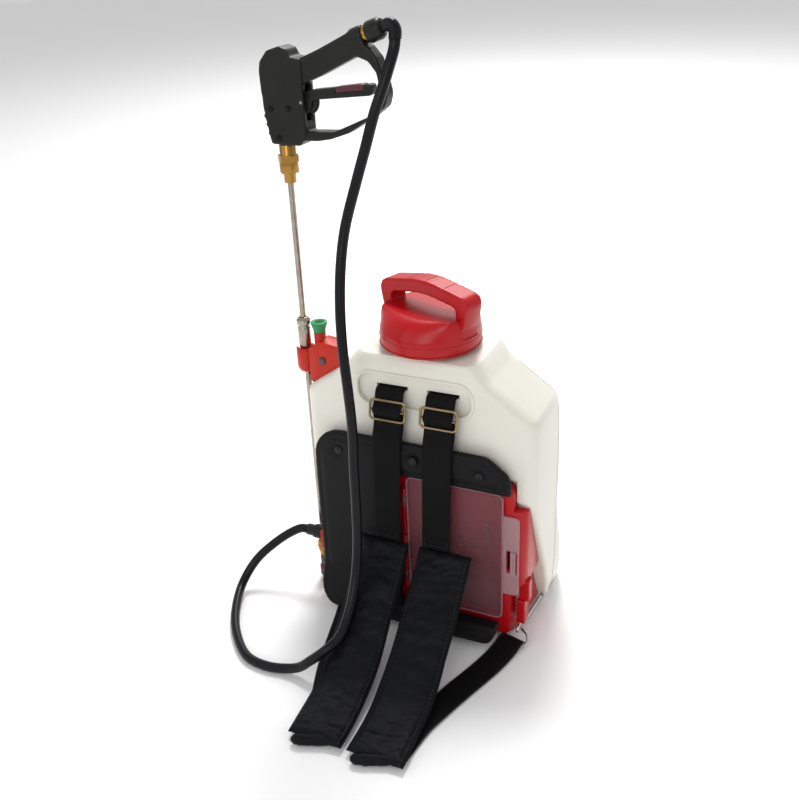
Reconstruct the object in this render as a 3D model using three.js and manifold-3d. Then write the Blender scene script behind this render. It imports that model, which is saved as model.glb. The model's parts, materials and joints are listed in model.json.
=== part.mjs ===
// Battery backpack sprayer, in millimetres.
// +X is the user's left seen from behind the machine, -Y is the side that
// rests on the wearer's back, +Z is up. The origin is on the ground, in the
// middle of the machine's base.
import * as THREE from 'three';
import { mergeVertices } from 'three/addons/utils/BufferGeometryUtils.js';
import Module from 'manifold-3d';

const wasm = await Module();
wasm.setup();

// ---------------------------------------------------------------- driving sizes
const GAP = 0.35; // clearance between pieces that touch

const TANK_X = -3; // middle plane of the tank and base
const TANK_HALF = 163;
const TANK_FRONT = -75; // face towards the wearer
const TANK_TOP = 400;
const TANK_WALL = 3;
const NECK_X = -2;
const NECK_Y = -18;
const NECK_R = 53;
const NECK_TOP = 431;

const BASE_HALF = 155;
const BASE_FRONT = -84;
const BASE_BOTTOM = 8;
const BASE_TOP = 211;
const BASE_WALL = 3;
const BAY = { x0: -10, x1: 116, z0: 42, z1: 230 }; // battery opening in the base front

const DOOR = { x0: -14, x1: 122, z0: 38, z1: 236, front: -88.4, back: -85.6 };
const DOOR_HINGE = { x: -18, y: -88 };
const DOOR_TAB = { x1: 144, z0: 82, z1: 204 };

const PAD_BACK = -85; // rear face of the back pad
const PAD_THICK = 9.5;

const STRAP_X = 35.5; // middle of each shoulder strap, left and right
const WEBBING = 40; // webbing width
const LOWER_WEBBING = 36;
const WEBBING_THICK = 2.4;
const SHOULDER_WIDTH = 68;
const SHOULDER_THICK = 13;

const LANCE_X = -174.5; // the lance stands on this line beside the tank
const LANCE_Y = -47;
const LANCE_R = 4;

const GUN_Y = -47; // middle plane of the spray gun
const GUN_THICK = 29;
const HANDLE_THICK = 21;
const TRIGGER_PIVOT = { x: -143, z: 706 };

const HOSE_R = 6.5;

// ------------------------------------------------------------------- shape tools
// A closed solid from any closed three.js geometry, turned the right way out.
function solid(geometry) {
  const shape = geometry.index ? geometry.toNonIndexed() : geometry.clone();
  shape.deleteAttribute('normal');
  shape.deleteAttribute('uv');
  const merged = mergeVertices(shape, 1e-4);
  const vertProperties = new Float32Array(merged.attributes.position.array);
  const triVerts = new Uint32Array(merged.index.array).filter((_, i, all) => {
    const t = i - (i % 3);
    return all[t] !== all[t + 1] && all[t + 1] !== all[t + 2] && all[t] !== all[t + 2];
  });
  let volume = 0;
  for (let t = 0; t < triVerts.length; t += 3) {
    const [a, b, c] = [0, 1, 2].map((k) =>
      new THREE.Vector3().fromArray(vertProperties, 3 * triVerts[t + k]));
    volume += a.dot(b.cross(c));
  }
  if (volume < 0) {
    for (let t = 0; t < triVerts.length; t += 3) {
      [triVerts[t], triVerts[t + 1]] = [triVerts[t + 1], triVerts[t]];
    }
  }
  return new wasm.Manifold(new wasm.Mesh({ numProp: 3, vertProperties, triVerts }));
}

function join(...parts) {
  return parts.reduce((whole, part) => whole.add(part));
}

function cut(whole, ...tools) {
  return tools.reduce((rest, tool) => rest.subtract(tool), whole);
}

function common(...parts) {
  return parts.reduce((rest, part) => rest.intersect(part));
}

function moved(part, x, y, z) {
  return part.translate([x, y, z]);
}

// An outline with its corners rounded: each corner is [u, v] or [u, v, radius].
function outline(corners, steps = 5) {
  const points = [];
  corners.forEach(([u, v, radius = 0], i) => {
    const here = new THREE.Vector2(u, v);
    if (radius === 0) {
      points.push(here);
      return;
    }
    const [before, after] = [-1, 1].map((k) => {
      const [pu, pv] = corners[(i + k + corners.length) % corners.length];
      return new THREE.Vector2(pu, pv).sub(here).normalize();
    });
    const half = Math.acos(THREE.MathUtils.clamp(before.dot(after), -1, 1)) / 2;
    const reach = radius / Math.tan(half);
    const middle = before.clone().add(after).normalize().multiplyScalar(radius / Math.sin(half));
    const centre = here.clone().add(middle);
    const first = here.clone().addScaledVector(before, reach).sub(centre).angle();
    let turn = here.clone().addScaledVector(after, reach).sub(centre).angle() - first;
    turn = THREE.MathUtils.euclideanModulo(turn + Math.PI, 2 * Math.PI) - Math.PI;
    for (let k = 0; k <= steps; k += 1) {
      const angle = first + (turn * k) / steps;
      points.push(new THREE.Vector2(Math.cos(angle), Math.sin(angle))
        .multiplyScalar(radius).add(centre));
    }
  });
  return points;
}

function extrude(points, depth) {
  return new THREE.ExtrudeGeometry(new THREE.Shape(points), { depth, bevelEnabled: false });
}

// Prisms: an outline in the XZ, YZ or XY plane, pushed along Y, X or Z.
function prismY(points, y0, y1) {
  return solid(extrude(points, y1 - y0).rotateX(Math.PI / 2).translate(0, y1, 0));
}

function prismX(points, x0, x1) {
  const turn = new THREE.Matrix4().makeBasis(
    new THREE.Vector3(0, 1, 0), new THREE.Vector3(0, 0, 1), new THREE.Vector3(1, 0, 0));
  return solid(extrude(points, x1 - x0).applyMatrix4(turn).translate(x0, 0, 0));
}

function prismZ(points, z0, z1) {
  return solid(extrude(points, z1 - z0).translate(0, 0, z0));
}

// A closed body through level outlines, from the bottom up, that share one count of points.
function loft(levels) {
  const count = levels[0][1].length;
  const positions = levels.flatMap(([z, points]) => points.flatMap((p) => [p.x, p.y, z]));
  const faces = [];
  levels.slice(1).forEach((_, i) => {
    for (let k = 0; k < count; k += 1) {
      const [a, b] = [count * i + k, count * i + ((k + 1) % count)];
      faces.push(a, b, b + count, a, b + count, a + count);
    }
  });
  const top = count * (levels.length - 1);
  for (let k = 1; k < count - 1; k += 1) {
    faces.push(0, k + 1, k, top, top + k, top + k + 1);
  }
  const shape = new THREE.BufferGeometry();
  shape.setAttribute('position', new THREE.Float32BufferAttribute(positions, 3));
  shape.setIndex(faces);
  return solid(shape);
}

function box(x0, x1, y0, y1, z0, z1) {
  return solid(new THREE.BoxGeometry(x1 - x0, y1 - y0, z1 - z0)
    .translate((x0 + x1) / 2, (y0 + y1) / 2, (z0 + z1) / 2));
}

// A turned piece about a vertical axis: profile points are [radius, z].
function turned(profile, segments = 32) {
  const points = profile.map(([r, z]) => new THREE.Vector2(r, z));
  return solid(new THREE.LatheGeometry(points, segments).rotateX(Math.PI / 2));
}

function disc(r, z0, z1, segments = 32) {
  return turned([[0, z0], [r, z0], [r, z1], [0, z1]], segments);
}

// Carries a piece built about the Z axis onto the line from one point to another.
function along(part, from, to) {
  const axis = new THREE.Vector3(...to).sub(new THREE.Vector3(...from)).normalize();
  const turn = new THREE.Quaternion().setFromUnitVectors(new THREE.Vector3(0, 0, 1), axis);
  const place = new THREE.Matrix4().makeRotationFromQuaternion(turn).setPosition(...from);
  return part.transform(place.elements.slice());
}

function rod(from, to, r, segments = 20) {
  const length = new THREE.Vector3(...from).distanceTo(new THREE.Vector3(...to));
  return along(disc(r, 0, length, segments), from, to);
}

// A section swept along a smooth curve through the given points.
function sweep(points, section, steps) {
  const path = new THREE.CatmullRomCurve3(points.map((p) => new THREE.Vector3(...p)), false,
    'centripetal');
  return solid(new THREE.ExtrudeGeometry(new THREE.Shape(section),
    { steps, extrudePath: path, bevelEnabled: false }));
}

function circle(r, sides) {
  return Array.from({ length: sides }, (_, i) => {
    const angle = (2 * Math.PI * i) / sides;
    return new THREE.Vector2(r * Math.cos(angle), r * Math.sin(angle));
  });
}

// Round wire bent through the given points, closed into a loop when asked.
function wire(points, r, closed = false) {
  const ends = closed ? [...points, points[0]] : points;
  const runs = ends.slice(1).map((p, i) => rod(ends[i], p, r, 10));
  const bends = points.map((p) => moved(solid(new THREE.SphereGeometry(r, 10, 6)), ...p));
  return join(...runs, ...bends);
}

// A flat strap: the middle line is given as [x, y, z, lean], where lean turns the
// strap's width in the ground plane, in degrees. Every section stays rectangular.
function strap(stations, width, thick) {
  const rows = stations.map(([x, y, z, lean = 0], i) => {
    const here = new THREE.Vector3(x, y, z);
    const before = new THREE.Vector3(...stations[Math.max(i - 1, 0)].slice(0, 3));
    const after = new THREE.Vector3(...stations[Math.min(i + 1, stations.length - 1)].slice(0, 3));
    const run = after.sub(before).normalize();
    const angle = THREE.MathUtils.degToRad(lean);
    const across = new THREE.Vector3(Math.cos(angle), Math.sin(angle), 0);
    across.addScaledVector(run, -across.dot(run)).normalize();
    const up = across.clone().cross(run).normalize();
    return [[-1, -1], [1, -1], [1, 1], [-1, 1]].map(([s, t]) => here.clone()
      .addScaledVector(across, (s * width) / 2).addScaledVector(up, (t * thick) / 2));
  });
  const positions = rows.flat().flatMap((p) => p.toArray());
  const faces = [];
  rows.slice(1).forEach((_, i) => {
    for (let k = 0; k < 4; k += 1) {
      const [a, b] = [4 * i + k, 4 * i + ((k + 1) % 4)];
      faces.push(a, b, b + 4, a, b + 4, a + 4);
    }
  });
  const last = 4 * (rows.length - 1);
  faces.push(0, 2, 1, 0, 3, 2, last, last + 1, last + 2, last, last + 2, last + 3);
  const shape = new THREE.BufferGeometry();
  shape.setAttribute('position', new THREE.Float32BufferAttribute(positions, 3));
  shape.setIndex(faces);
  return solid(shape);
}

// ----------------------------------------------------------------- the assembly
const sprayer = new THREE.Group();

const FINISH = {
  tank: { color: 0xe9e8e0, roughness: 0.45, metalness: 0 },
  red: { color: 0xc4121c, roughness: 0.35, metalness: 0 },
  darkRed: { color: 0x7c1016, roughness: 0.45, metalness: 0 },
  green: { color: 0x2fa25a, roughness: 0.4, metalness: 0 },
  clear: { color: 0xb97f8e, roughness: 0.3, metalness: 0 },
  black: { color: 0x17171a, roughness: 0.5, metalness: 0 },
  rubber: { color: 0x121212, roughness: 0.65, metalness: 0 },
  cloth: { color: 0x101013, roughness: 0.85, metalness: 0 },
  brass: { color: 0xb08a45, roughness: 0.3, metalness: 1 },
  bronze: { color: 0x8f7a52, roughness: 0.35, metalness: 1 },
  steel: { color: 0xb7b4ae, roughness: 0.28, metalness: 1 },
  grey: { color: 0x4a4d52, roughness: 0.5, metalness: 0 },
};

function add(name, part, finish) {
  const { vertProperties, triVerts } = part.getMesh();
  const geometry = new THREE.BufferGeometry();
  geometry.setAttribute('position', new THREE.Float32BufferAttribute(vertProperties, 3));
  geometry.setIndex(Array.from(triVerts));
  geometry.computeVertexNormals();
  const mesh = new THREE.Mesh(geometry, new THREE.MeshStandardMaterial(FINISH[finish]));
  mesh.name = name;
  sprayer.add(mesh);
}

// -------------------------------------------------------------------- the tank
// The blow-moulded tank, level by level: [height, half width, front, back, front corner
// radius, back corner radius]. Its front slants back below, over the wedge-shaped base.
const TANK_LEVELS = [
  [0, 150, 20, 103, 4, 30], [2.5, 153, 17, 107, 4, 34], [12, 157, 17, 112, 4, 40],
  [38, 161, 5.9, 111, 6, 46], [72, 163, -8.7, 101, 6, 50], [104, 163, -22.4, 92, 6, 50],
  [139, 163, -37.3, 79, 6, 50], [166, 163, -48.9, 75, 6, 50], [190, 163, -59.2, 78, 8, 50],
  [213, 163, -69, 79, 12, 50], [222, 163, -75, 79, 18, 50], [259, 163, -75, 76, 18, 50],
  [286, 163, -75, 70, 18, 50], [310, 163, -75, 66, 18, 50], [326, 163, -75, 60, 18, 50],
  [333, 161.5, -75, 58, 18, 50], [338, 157, -75, 57, 18, 50], [377, 101, -75, 57, 18, 48],
  [383, 96, -75, 57, 18, 46], [396, 86.5, -74, 56, 18, 44], [400, 82, -71, 53, 16, 42]];

// The inset draws every wall in, for the inner skin.
function tankBody(inset) {
  const scale = (TANK_TOP - 2 * inset) / TANK_TOP;
  return loft(TANK_LEVELS.map(([z, half, front, back, near, far]) => {
    const [x, y0, y1] = [half - inset, front + inset, back - inset];
    const [r0, r1] = [Math.max(near - inset, 1), far - inset];
    return [inset + z * scale, outline([[TANK_X - x, y0, r0], [TANK_X + x, y0, r0],
      [TANK_X + x, y1, r1], [TANK_X - x, y1, r1]])];
  }));
}

// The stadium-shaped recess that the shoulder straps hang from.
const STRAP_RECESS = { x0: -84, x1: 76, z0: 329, z1: 375, depth: 4 };

function recessShape(grow, y1) {
  const { x0, x1, z0, z1 } = STRAP_RECESS;
  const r = (z1 - z0) / 2 + grow - 0.01;
  return prismY(outline([[x0 - grow, z0 - grow, r], [x1 + grow, z0 - grow, r],
    [x1 + grow, z1 + grow, r], [x0 - grow, z1 + grow, r]], 8), TANK_FRONT - 5, y1);
}

function tank() {
  const neck = moved(turned([[0, TANK_TOP - 12], [NECK_R + 3, TANK_TOP - 12],
    [NECK_R, TANK_TOP + 4], [NECK_R, NECK_TOP], [0, NECK_TOP]], 48), NECK_X, NECK_Y, 0);
  const bore = moved(disc(NECK_R - 4, TANK_TOP - 20, NECK_TOP + 5, 48), NECK_X, NECK_Y, 0);
  // The base's upright front plate stands in a step of the wearer's face.
  const step = box(-143, 136, -95, TANK_FRONT + 8.5, 195, 252);
  const stepInside = box(-147, 140, -95, TANK_FRONT + 8.5 + TANK_WALL, 190, 256);
  const pocketSlots = [-STRAP_X, STRAP_X].map((x) =>
    box(x - 22, x + 22, TANK_FRONT - 2, TANK_FRONT + 13, 353, 359));
  const inside = cut(tankBody(TANK_WALL), stepInside, recessShape(6, TANK_FRONT + 16));
  const notch = { y0: 22, y1: 48, z1: 24 }; // open space behind each strap eyelet
  const eyelets = [1, -1].flatMap((s) => [
    box(...[TANK_X + s * 131, TANK_X + s * 175].sort((a, b) => a - b), notch.y0, notch.y1, -2,
      notch.z1),
    rod([TANK_X + s * 149.5, 10, 9.5], [TANK_X + s * 149.5, 30, 9.5], 4.6, 16),
  ]);
  const notchInside = [1, -1].map((s) =>
    box(...[TANK_X + s * 127, TANK_X + s * 175].sort((a, b) => a - b), 10, notch.y1 + 4, -2,
      notch.z1 + 4));
  // Blind holes that the strap pad's rivets sit in, and the wand holder's screw.
  const rivetHoles = PAD_RIVETS.map(([x, z]) =>
    rod([x, TANK_FRONT - 15, z], [x, TANK_FRONT + 3.2, z], 3, 12));
  const rivetBosses = PAD_RIVETS.map(([x, z]) =>
    rod([x, PAD_BACK + GAP, z], [x, TANK_FRONT + 5, z], 8, 16));
  return cut(join(tankBody(0), neck, ...rivetBosses), cut(inside, ...notchInside), bore, step,
    recessShape(0, TANK_FRONT + STRAP_RECESS.depth), ...pocketSlots, ...eyelets, ...rivetHoles);
}

const PAD_RIVETS = [[-109, 261], [0, 265], [92, 261]];

// ------------------------------------------------------------------ lid and neck
const LID_RIM = 404;
const LID_TOP = 451;
const HANDLE_TURN = -18; // the lid's handle stands a little askew

function lid() {
  const skin = turned([[0, LID_RIM], [64, LID_RIM], [66, LID_RIM + 2], [66.5, LID_RIM + 20],
    [64.5, LID_RIM + 28], [60, LID_RIM + 37], [52, LID_TOP - 4], [46, LID_TOP], [0, LID_TOP]], 64);
  const hollow = turned([[0, LID_RIM - 2], [NECK_R + 2, LID_RIM - 2],
    [NECK_R + 2, NECK_TOP + 4.5], [0, NECK_TOP + 4.5]], 48);
  // An arched grip on two arms, with room for the fingers under it.
  const arch = outline([[-74, 426, 3], [-54, 426, 3], [-54, 465, 8], [0, 474, 120], [54, 465, 8],
    [54, 426, 3], [74, 426, 3], [73, 479, 14], [0, 492.5, 120], [-73, 479, 14]]);
  const handle = cut(prismY(arch, -15, 15), turned([[0, LID_RIM - 4], [64, LID_RIM - 4],
    [64, LID_RIM + 26], [0, LID_RIM + 26]], 32));
  return moved(cut(join(skin, handle), hollow).rotate([0, 0, HANDLE_TURN]), NECK_X, NECK_Y, 0);
}

function gasket() {
  return moved(turned([[NECK_R - 5, NECK_TOP + GAP], [NECK_R, NECK_TOP + GAP],
    [NECK_R, NECK_TOP + 4.1], [NECK_R - 5, NECK_TOP + 4.1], [NECK_R - 5, NECK_TOP + GAP]], 48),
  NECK_X, NECK_Y, 0);
}

// A basket strainer hanging inside the neck on its own flange.
function strainer() {
  const rim = NECK_R - 4 - 1.5;
  const r = 40;
  const cup = turned([[0, 352], [r - 2, 352], [r, 356], [r, NECK_TOP - 8], [rim, NECK_TOP - 3],
    [rim, NECK_TOP - 1], [r - 2, NECK_TOP - 4], [r - 2, 357], [r - 4, 354], [0, 354]], 40);
  const windows = [0, 1, 2, 3, 4, 5].flatMap((k) => [371, 391].map((z) =>
    box(r - 8, r + 4, -13, 13, z - 8, z + 8).rotate([0, 0, 60 * k])));
  const floor = [0, 90, 180, 270].map((turn) =>
    box(6, 26, 6, 26, 350, 356).rotate([0, 0, turn]));
  return moved(cut(cup, ...windows, ...floor), NECK_X, NECK_Y, 0);
}

// ---------------------------------------------------------------- the red base
// Level by level: [height, half width in front, half width behind, front corner radius].
const BASE_LEVELS = [[BASE_BOTTOM, 133, 142, 16], [BASE_BOTTOM + 4, 137, 146, 18],
  [78, 137, 146, 18], [98, BASE_HALF, BASE_HALF, 13], [BASE_TOP, BASE_HALF, BASE_HALF, 13]];

function baseBody(inset) {
  const blank = loft(BASE_LEVELS.map(([z, near, far, r]) => {
    const level = Math.min(Math.max(z, BASE_BOTTOM + inset + (z > 10 ? 1 : 0)), BASE_TOP - inset);
    return [level, outline([[TANK_X - near + inset, BASE_FRONT + inset, r - inset],
      [TANK_X + near - inset, BASE_FRONT + inset, r - inset], [TANK_X + far - inset, 30, 0.5],
      [TANK_X - far + inset, 30, 0.5]])];
  }));
  // The rear face follows the tank's slanted underside.
  const profile = [[BASE_FRONT + inset, BASE_TOP - inset], [BASE_FRONT + inset,
    BASE_BOTTOM + inset, 4], [15 - inset, BASE_BOTTOM + inset], [14.5 - inset * 1.1,
    12.2], [-69.8 - inset * 0.6, BASE_TOP - inset]];
  return common(prismX(outline(profile, 3), -200, 200), blank);
}

function base() {
  const plate = prismY(outline([[-142, 200], [135, 200], [135, 248, 16], [-142, 248, 16]]),
    BASE_FRONT, TANK_FRONT + 8.1);
  const bay = box(BAY.x0, BAY.x1, BASE_FRONT - 1, -80, BAY.z0, BAY.z1);
  const upperHollow = box(-136, BAY.x1 + 12, BASE_FRONT + BASE_WALL, TANK_FRONT + 5.6, 195, 241);
  const partition = box(-26, -22, -90, 30, 0, 240);
  const hollow = cut(join(baseBody(BASE_WALL), upperHollow), partition);
  // A boss carries the outlet, and a skid under the middle rests on the ground.
  const boss = box(OUTLET.boss, OUTLET.seat, OUTLET.y - 13, OUTLET.y + 13, 80, 108);
  const skid = box(-40, 40, -12, 12, 0, BASE_BOTTOM + 1);
  const cableHole = rod([-30, -60, 30], [-18, -60, 30], 6, 16);
  const outlet = join(rod([-170, OUTLET.y, OUTLET.z], [-145, OUTLET.y, OUTLET.z], 7.6, 20),
    rod([OUTLET.seat, OUTLET.y, OUTLET.z], [-138, OUTLET.y, OUTLET.z], 11, 20));
  const socket = rod([-170, -60, 150], [-150, -60, 150], 9.5, 20);
  const knobHole = rod([-170, -62, 50], [-130, -62, 50], 3.4, 16);
  const rocker = box(-165, -150, -72, -50, 112, 128);
  const catchSlot = box(127.2, 131.8, BASE_FRONT - 1, BASE_FRONT + 5, 119, 149);
  const footHoles = FEET.map(([x, y]) => rod([x, y, -2], [x, y, BASE_BOTTOM + 6], 3.5, 12));
  const shell = join(cut(join(baseBody(0), plate), hollow), boss, skid);
  return cut(shell, bay, cableHole, outlet, socket, knobHole, rocker, catchSlot, ...footHoles);
}

const OUTLET = { y: -68, z: 97, boss: -158.2, seat: -150.4 };
const FEET = [[-85, -62], [79, -62], [-120, -14], [114, -14]];

function foot([x, y]) {
  return moved(turned([[0, 0], [9, 0], [11, 2], [11, BASE_BOTTOM - GAP], [3.1, BASE_BOTTOM - GAP],
    [3.1, BASE_BOTTOM + 9], [0, BASE_BOTTOM + 9]], 20), x, y, 0);
}

// ----------------------------------------------------------- inside the base
function battery() {
  const pack = prismX(outline([[-77, 22, 4], [-22, 22, 4], [-22, 66, 4], [-42, 82, 4],
    [-77, 82, 4]]), 2, 112);
  const grip = prismX(outline([[-72, 80], [-56, 80], [-56, 96, 3], [-72, 96, 3]]), 20, 94);
  const gripHole = box(34, 80, -80, -50, 83.5, 91);
  return cut(join(pack, grip), gripHole);
}

function motor() {
  const can = rod([-62, -48, 46], [-29, -48, 46], 21, 28);
  const nose = rod([-68, -48, 46], [-60, -48, 46], 12, 20);
  return join(can, nose);
}

function pump() {
  const head = box(-118, -68.4, -72, -26, 22, 74);
  const dome = rod([-93, -49, 73], [-93, -49, 82], 17, 24);
  const inlet = rod([-93, -50, 80], [-93, -50, 94], 5, 12);
  return join(head, dome, inlet);
}

// Threaded spigot through the base's left wall; the hose nut is screwed over it.
function outletFitting() {
  const profile = [[0, 0], [10.5, 0], [10.5, 4], [7.2, 4], [7.2, 26], [0, 26]];
  return along(turned(profile, 20), [OUTLET.seat + GAP + 4, OUTLET.y, OUTLET.z],
    [-200, OUTLET.y, OUTLET.z]);
}

function outletNut() {
  const profile = [[0, 13.3], [7.6, 13.3], [7.6, 0], [10.5, 0], [10.5, 14], [8.5, 15.5], [8.5, 26.6],
    [0, 26.6]];
  return along(turned(profile, 12), [OUTLET.boss - 1.4, OUTLET.y, OUTLET.z],
    [-220, OUTLET.y, OUTLET.z]);
}

// ------------------------------------------------- controls on the left side
function rockerSwitch() {
  const x = TANK_X - BASE_HALF;
  return prismY(outline([[x + 5, 112.6], [x - 1.5, 113], [x - 3.5, 127], [x + 5, 127.4]]),
    -71.4, -50.6);
}

function pressureKnob() {
  const profile = [[0, 0], [3, 0], [3, 12.5], [14, 12.5], [14, 24], [11.5, 27], [0, 27]];
  const grips = Array.from({ length: 9 }, (_, i) => {
    const angle = (2 * Math.PI * i) / 9;
    return rod([14.6 * Math.cos(angle), 14.6 * Math.sin(angle), 12],
      [14.6 * Math.cos(angle), 14.6 * Math.sin(angle), 30], 2.2, 8);
  });
  return along(cut(turned(profile, 32), ...grips), [-135, -62, 50], [-260, -62, 50]);
}

function chargeCap() {
  const x = TANK_X - BASE_HALF;
  return along(turned([[0, 0], [8.8, 0], [8.8, 5.3], [11.5, 5.3], [11.5, 8], [9, 9.5], [0, 9.5]],
    24), [x + 5, -60, 150], [-200, -60, 150]);
}

// ------------------------------------------------------------- battery door
function door() {
  const panel = prismY(outline([[DOOR.x0, DOOR.z0, 12], [DOOR.x1, DOOR.z0, 12],
    [DOOR.x1, DOOR_TAB.z0], [DOOR_TAB.x1, DOOR_TAB.z0, 6], [DOOR_TAB.x1, DOOR_TAB.z1, 6],
    [DOOR.x1, DOOR_TAB.z1], [DOOR.x1, DOOR.z1, 6], [DOOR.x0, DOOR.z1, 6]]),
  DOOR.front, DOOR.back);
  const window = box(126.5, 132.5, DOOR.front - 5, DOOR.back + 5, 116, 152);
  const latchHole = box(134.5, 141.5, DOOR.front - 5, DOOR.back + 5, 117, 151);
  const knuckles = DOOR_KNUCKLES.map((z) => join(
    rod([DOOR_HINGE.x, DOOR_HINGE.y, z - 9], [DOOR_HINGE.x, DOOR_HINGE.y, z + 9], 3.2, 16),
    box(DOOR_HINGE.x, DOOR.x0 + 2, DOOR.front, DOOR.back, z - 9, z + 9)));
  const pinHole = rod([DOOR_HINGE.x, DOOR_HINGE.y, DOOR.z0], [DOOR_HINGE.x, DOOR_HINGE.y, DOOR.z1],
    1.55, 12);
  return cut(join(panel, ...knuckles), window, latchHole, pinHole);
}

const DOOR_KNUCKLES = [76, 196];

// The hinge pin and the two lugs that hold it are one moulding, clipped to the base.
function hingePin() {
  const pin = rod([DOOR_HINGE.x, DOOR_HINGE.y, 56], [DOOR_HINGE.x, DOOR_HINGE.y, 216], 1.4, 12);
  const lugs = [61, 136, 211].map((z) => join(
    rod([DOOR_HINGE.x, DOOR_HINGE.y, z - 5], [DOOR_HINGE.x, DOOR_HINGE.y, z + 5], 3.2, 16),
    box(DOOR_HINGE.x - 3, DOOR_HINGE.x + 3, DOOR_HINGE.y, BASE_FRONT - GAP, z - 5, z + 5)));
  return join(pin, ...lugs);
}

function doorLatch() {
  const bar = box(134.9, 138.3, DOOR.front - 3, DOOR.back + 0.6, 117.4, 150.6);
  const lip = box(133.2, 140, DOOR.front - 3.4, DOOR.front - GAP, 116.2, 151.8);
  return join(bar, lip);
}

// ------------------------------------------------------------------ back pad
function backPad() {
  const c = [[-147, 6, 40], [119, 6, 24], [119, 36], [-24, 36, 6], [-24, 238, 4], [133, 238],
    [133, 262, 24], [100, 288, 30], [-147, 288, 40]];
  // The pad lies flat on the tank and swells forward below, into the lumbar roll.
  const profile = [[PAD_BACK, 292], [PAD_BACK - PAD_THICK + 2, 292], [PAD_BACK - PAD_THICK, 288],
    [PAD_BACK - PAD_THICK, 70], [-112, 30, 20], [-118, 12, 6], [-104, 4], [-94, 14],
    [-91, 40, 20], [PAD_BACK, 66]];
  const sheet = common(prismY(outline(c), -140, -70), prismX(outline(profile, 3), -200, 200));
  const holes = PAD_RIVETS.map(([x, z]) => rod([x, -100, z], [x, -70, z], 3, 12));
  return cut(sheet, ...holes);
}

function padRivet([x, z]) {
  const head = PAD_BACK - PAD_THICK - GAP;
  return along(turned([[0, -14.5], [2.6, -14.5], [2.6, 0], [6.5, 0], [5.5, 2], [0, 3]], 16),
    [x, head, z], [x, head - 10, z]);
}

// ---------------------------------------------------------- shoulder harness
// Middle lines for one side; s is +1 for the strap on the +X side.
const BUCKLE_Z = 330;

function upperWebbing(x) {
  return strap([[x, -63, 356], [x, -77, 355.5], [x, -80, 352], [x, -82, 345], [x, -85, 330],
    [x, -89, 315], [x, -97, 296], [x, -99, 284], [x, -102, 250], [x, -106, 200],
    [x, -108.5, 162], [x, -109.5, 141]], WEBBING, WEBBING_THICK);
}

// Wire ladder buckle: a rectangular frame with a middle bar, lying on the webbing.
function buckle(x) {
  const frame = cut(prismY(outline([[-26, -14.5, 3.5], [26, -14.5, 3.5], [26, 14.5, 3.5],
    [-26, 14.5, 3.5]], 3), -1.7, 1.7), box(-22.6, 22.6, -3, 3, -11.2, 11.2));
  const bar = box(-23.5, 23.5, -1.6, 1.6, -1.6, 1.6);
  return moved(join(frame, bar).rotate([-12, 0, 0]), x, -89.6, BUCKLE_Z);
}

// Padded shoulder strap: hangs from the webbing and leans down to the ground.
const SHOULDER_LINE = [[-111, 139], [-140, 112], [-172, 84], [-206, 56], [-238, 33],
  [-268, 19], [-300, 12.5], [-345, 11.5]];

function shoulderPad(xTop, xEnd, twist) {
  const [[y0], [y1]] = [SHOULDER_LINE[0], SHOULDER_LINE[SHOULDER_LINE.length - 1]];
  return strap(SHOULDER_LINE.map(([y, z]) => {
    const t = (y - y0) / (y1 - y0);
    return [xTop + (xEnd - xTop) * t ** 0.8, y, z, twist * t];
  }), SHOULDER_WIDTH, SHOULDER_THICK);
}

// Lower webbing: from under the pad's end, along the ground, and over the ring's bar.
const LOWER_RIGHT = [[70, -332, 3], [72, -317, 3], [78, -277, 2.6], [87, -247, 2.4],
  [100, -208, 2.4], [121, -149, 2.4], [129, -121, 3], [133, -105, 5.4], [135.5, -95.5, 8.8],
  [136.8, -90.6, 9.2], [137.6, -87.2, 8.8], [138.3, -84.4, 6.4]];
const LOWER_LEFT = [[-36, -335, 3], [-45, -300, 2.6], [-72, -227, 2.4], [-98, -130, 2.2],
  [-103, -112, 2.2], [-106, -100, 4], [-107.6, -95, 6.2], [-108.7, -90.8, 6.4],
  [-109.5, -87.2, 6], [-110.3, -84.4, 4]];

// Wire D-ring: the webbing passes over its straight bar, the hook over its bow.
function strapRing(x, y, z, turn) {
  const bow = [[-21, 0], [-21, 6], [-17, 15], [-8, 20.5], [8, 20.5], [17, 15], [21, 6], [21, 0]];
  return moved(wire(bow.map(([u, v]) => [u, v, 0]), 1.8, true).rotate([0, 0, turn]), x, y, z);
}

// Wire hook: its upper end turns up behind the tank's eyelet.
const HOOK_RIGHT = [[146.5, 30, 17], [146.5, 27.5, 10.5], [146.5, 22, 9.5], [146, 8, 9.5],
  [143, -30, 9.6], [141, -60, 9.6], [140.6, -70, 9.6], [140.5, -75, 7.6], [140.5, -75.6, 3.6]];
const HOOK_LEFT = [[-152.5, 30, 17], [-152.5, 27.5, 10.5], [-152.5, 22, 9.5], [-151.6, 14, 8.6],
  [-149, 2, 6], [-143, -14, 5.6], [-130, -42, 6], [-118, -65, 6.15], [-115.5, -69.5, 6.15],
  [-113, -74.8, 5.4], [-112.6, -76.2, 2.6]];

// --------------------------------------------------------------- spray lance
function lanceTube(z0, z1) {
  return moved(disc(LANCE_R, z0, z1, 20), LANCE_X, LANCE_Y, 0);
}

function onLance(profile, segments = 24) {
  return moved(turned(profile, segments), LANCE_X, LANCE_Y, 0);
}

function lanceNut() {
  return onLance([[0, 607], [7.7, 607], [7.7, 619], [12, 619.6], [12, 638.4], [10.2, 639],
    [10.2, 654.4], [0, 654.4]], 12);
}

function coupler() {
  return onLance([[0, 381], [7, 381], [8.5, 385], [8.5, 412], [7.6, 413], [7.6, 416], [9.5, 417],
    [9.5, 423], [6, 427], [0, 427]]);
}

function nozzleNut() {
  return onLance([[0, 42], [7, 42], [7, 52], [9, 53], [9, 66], [6.5, 69], [0, 69]], 6);
}

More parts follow.
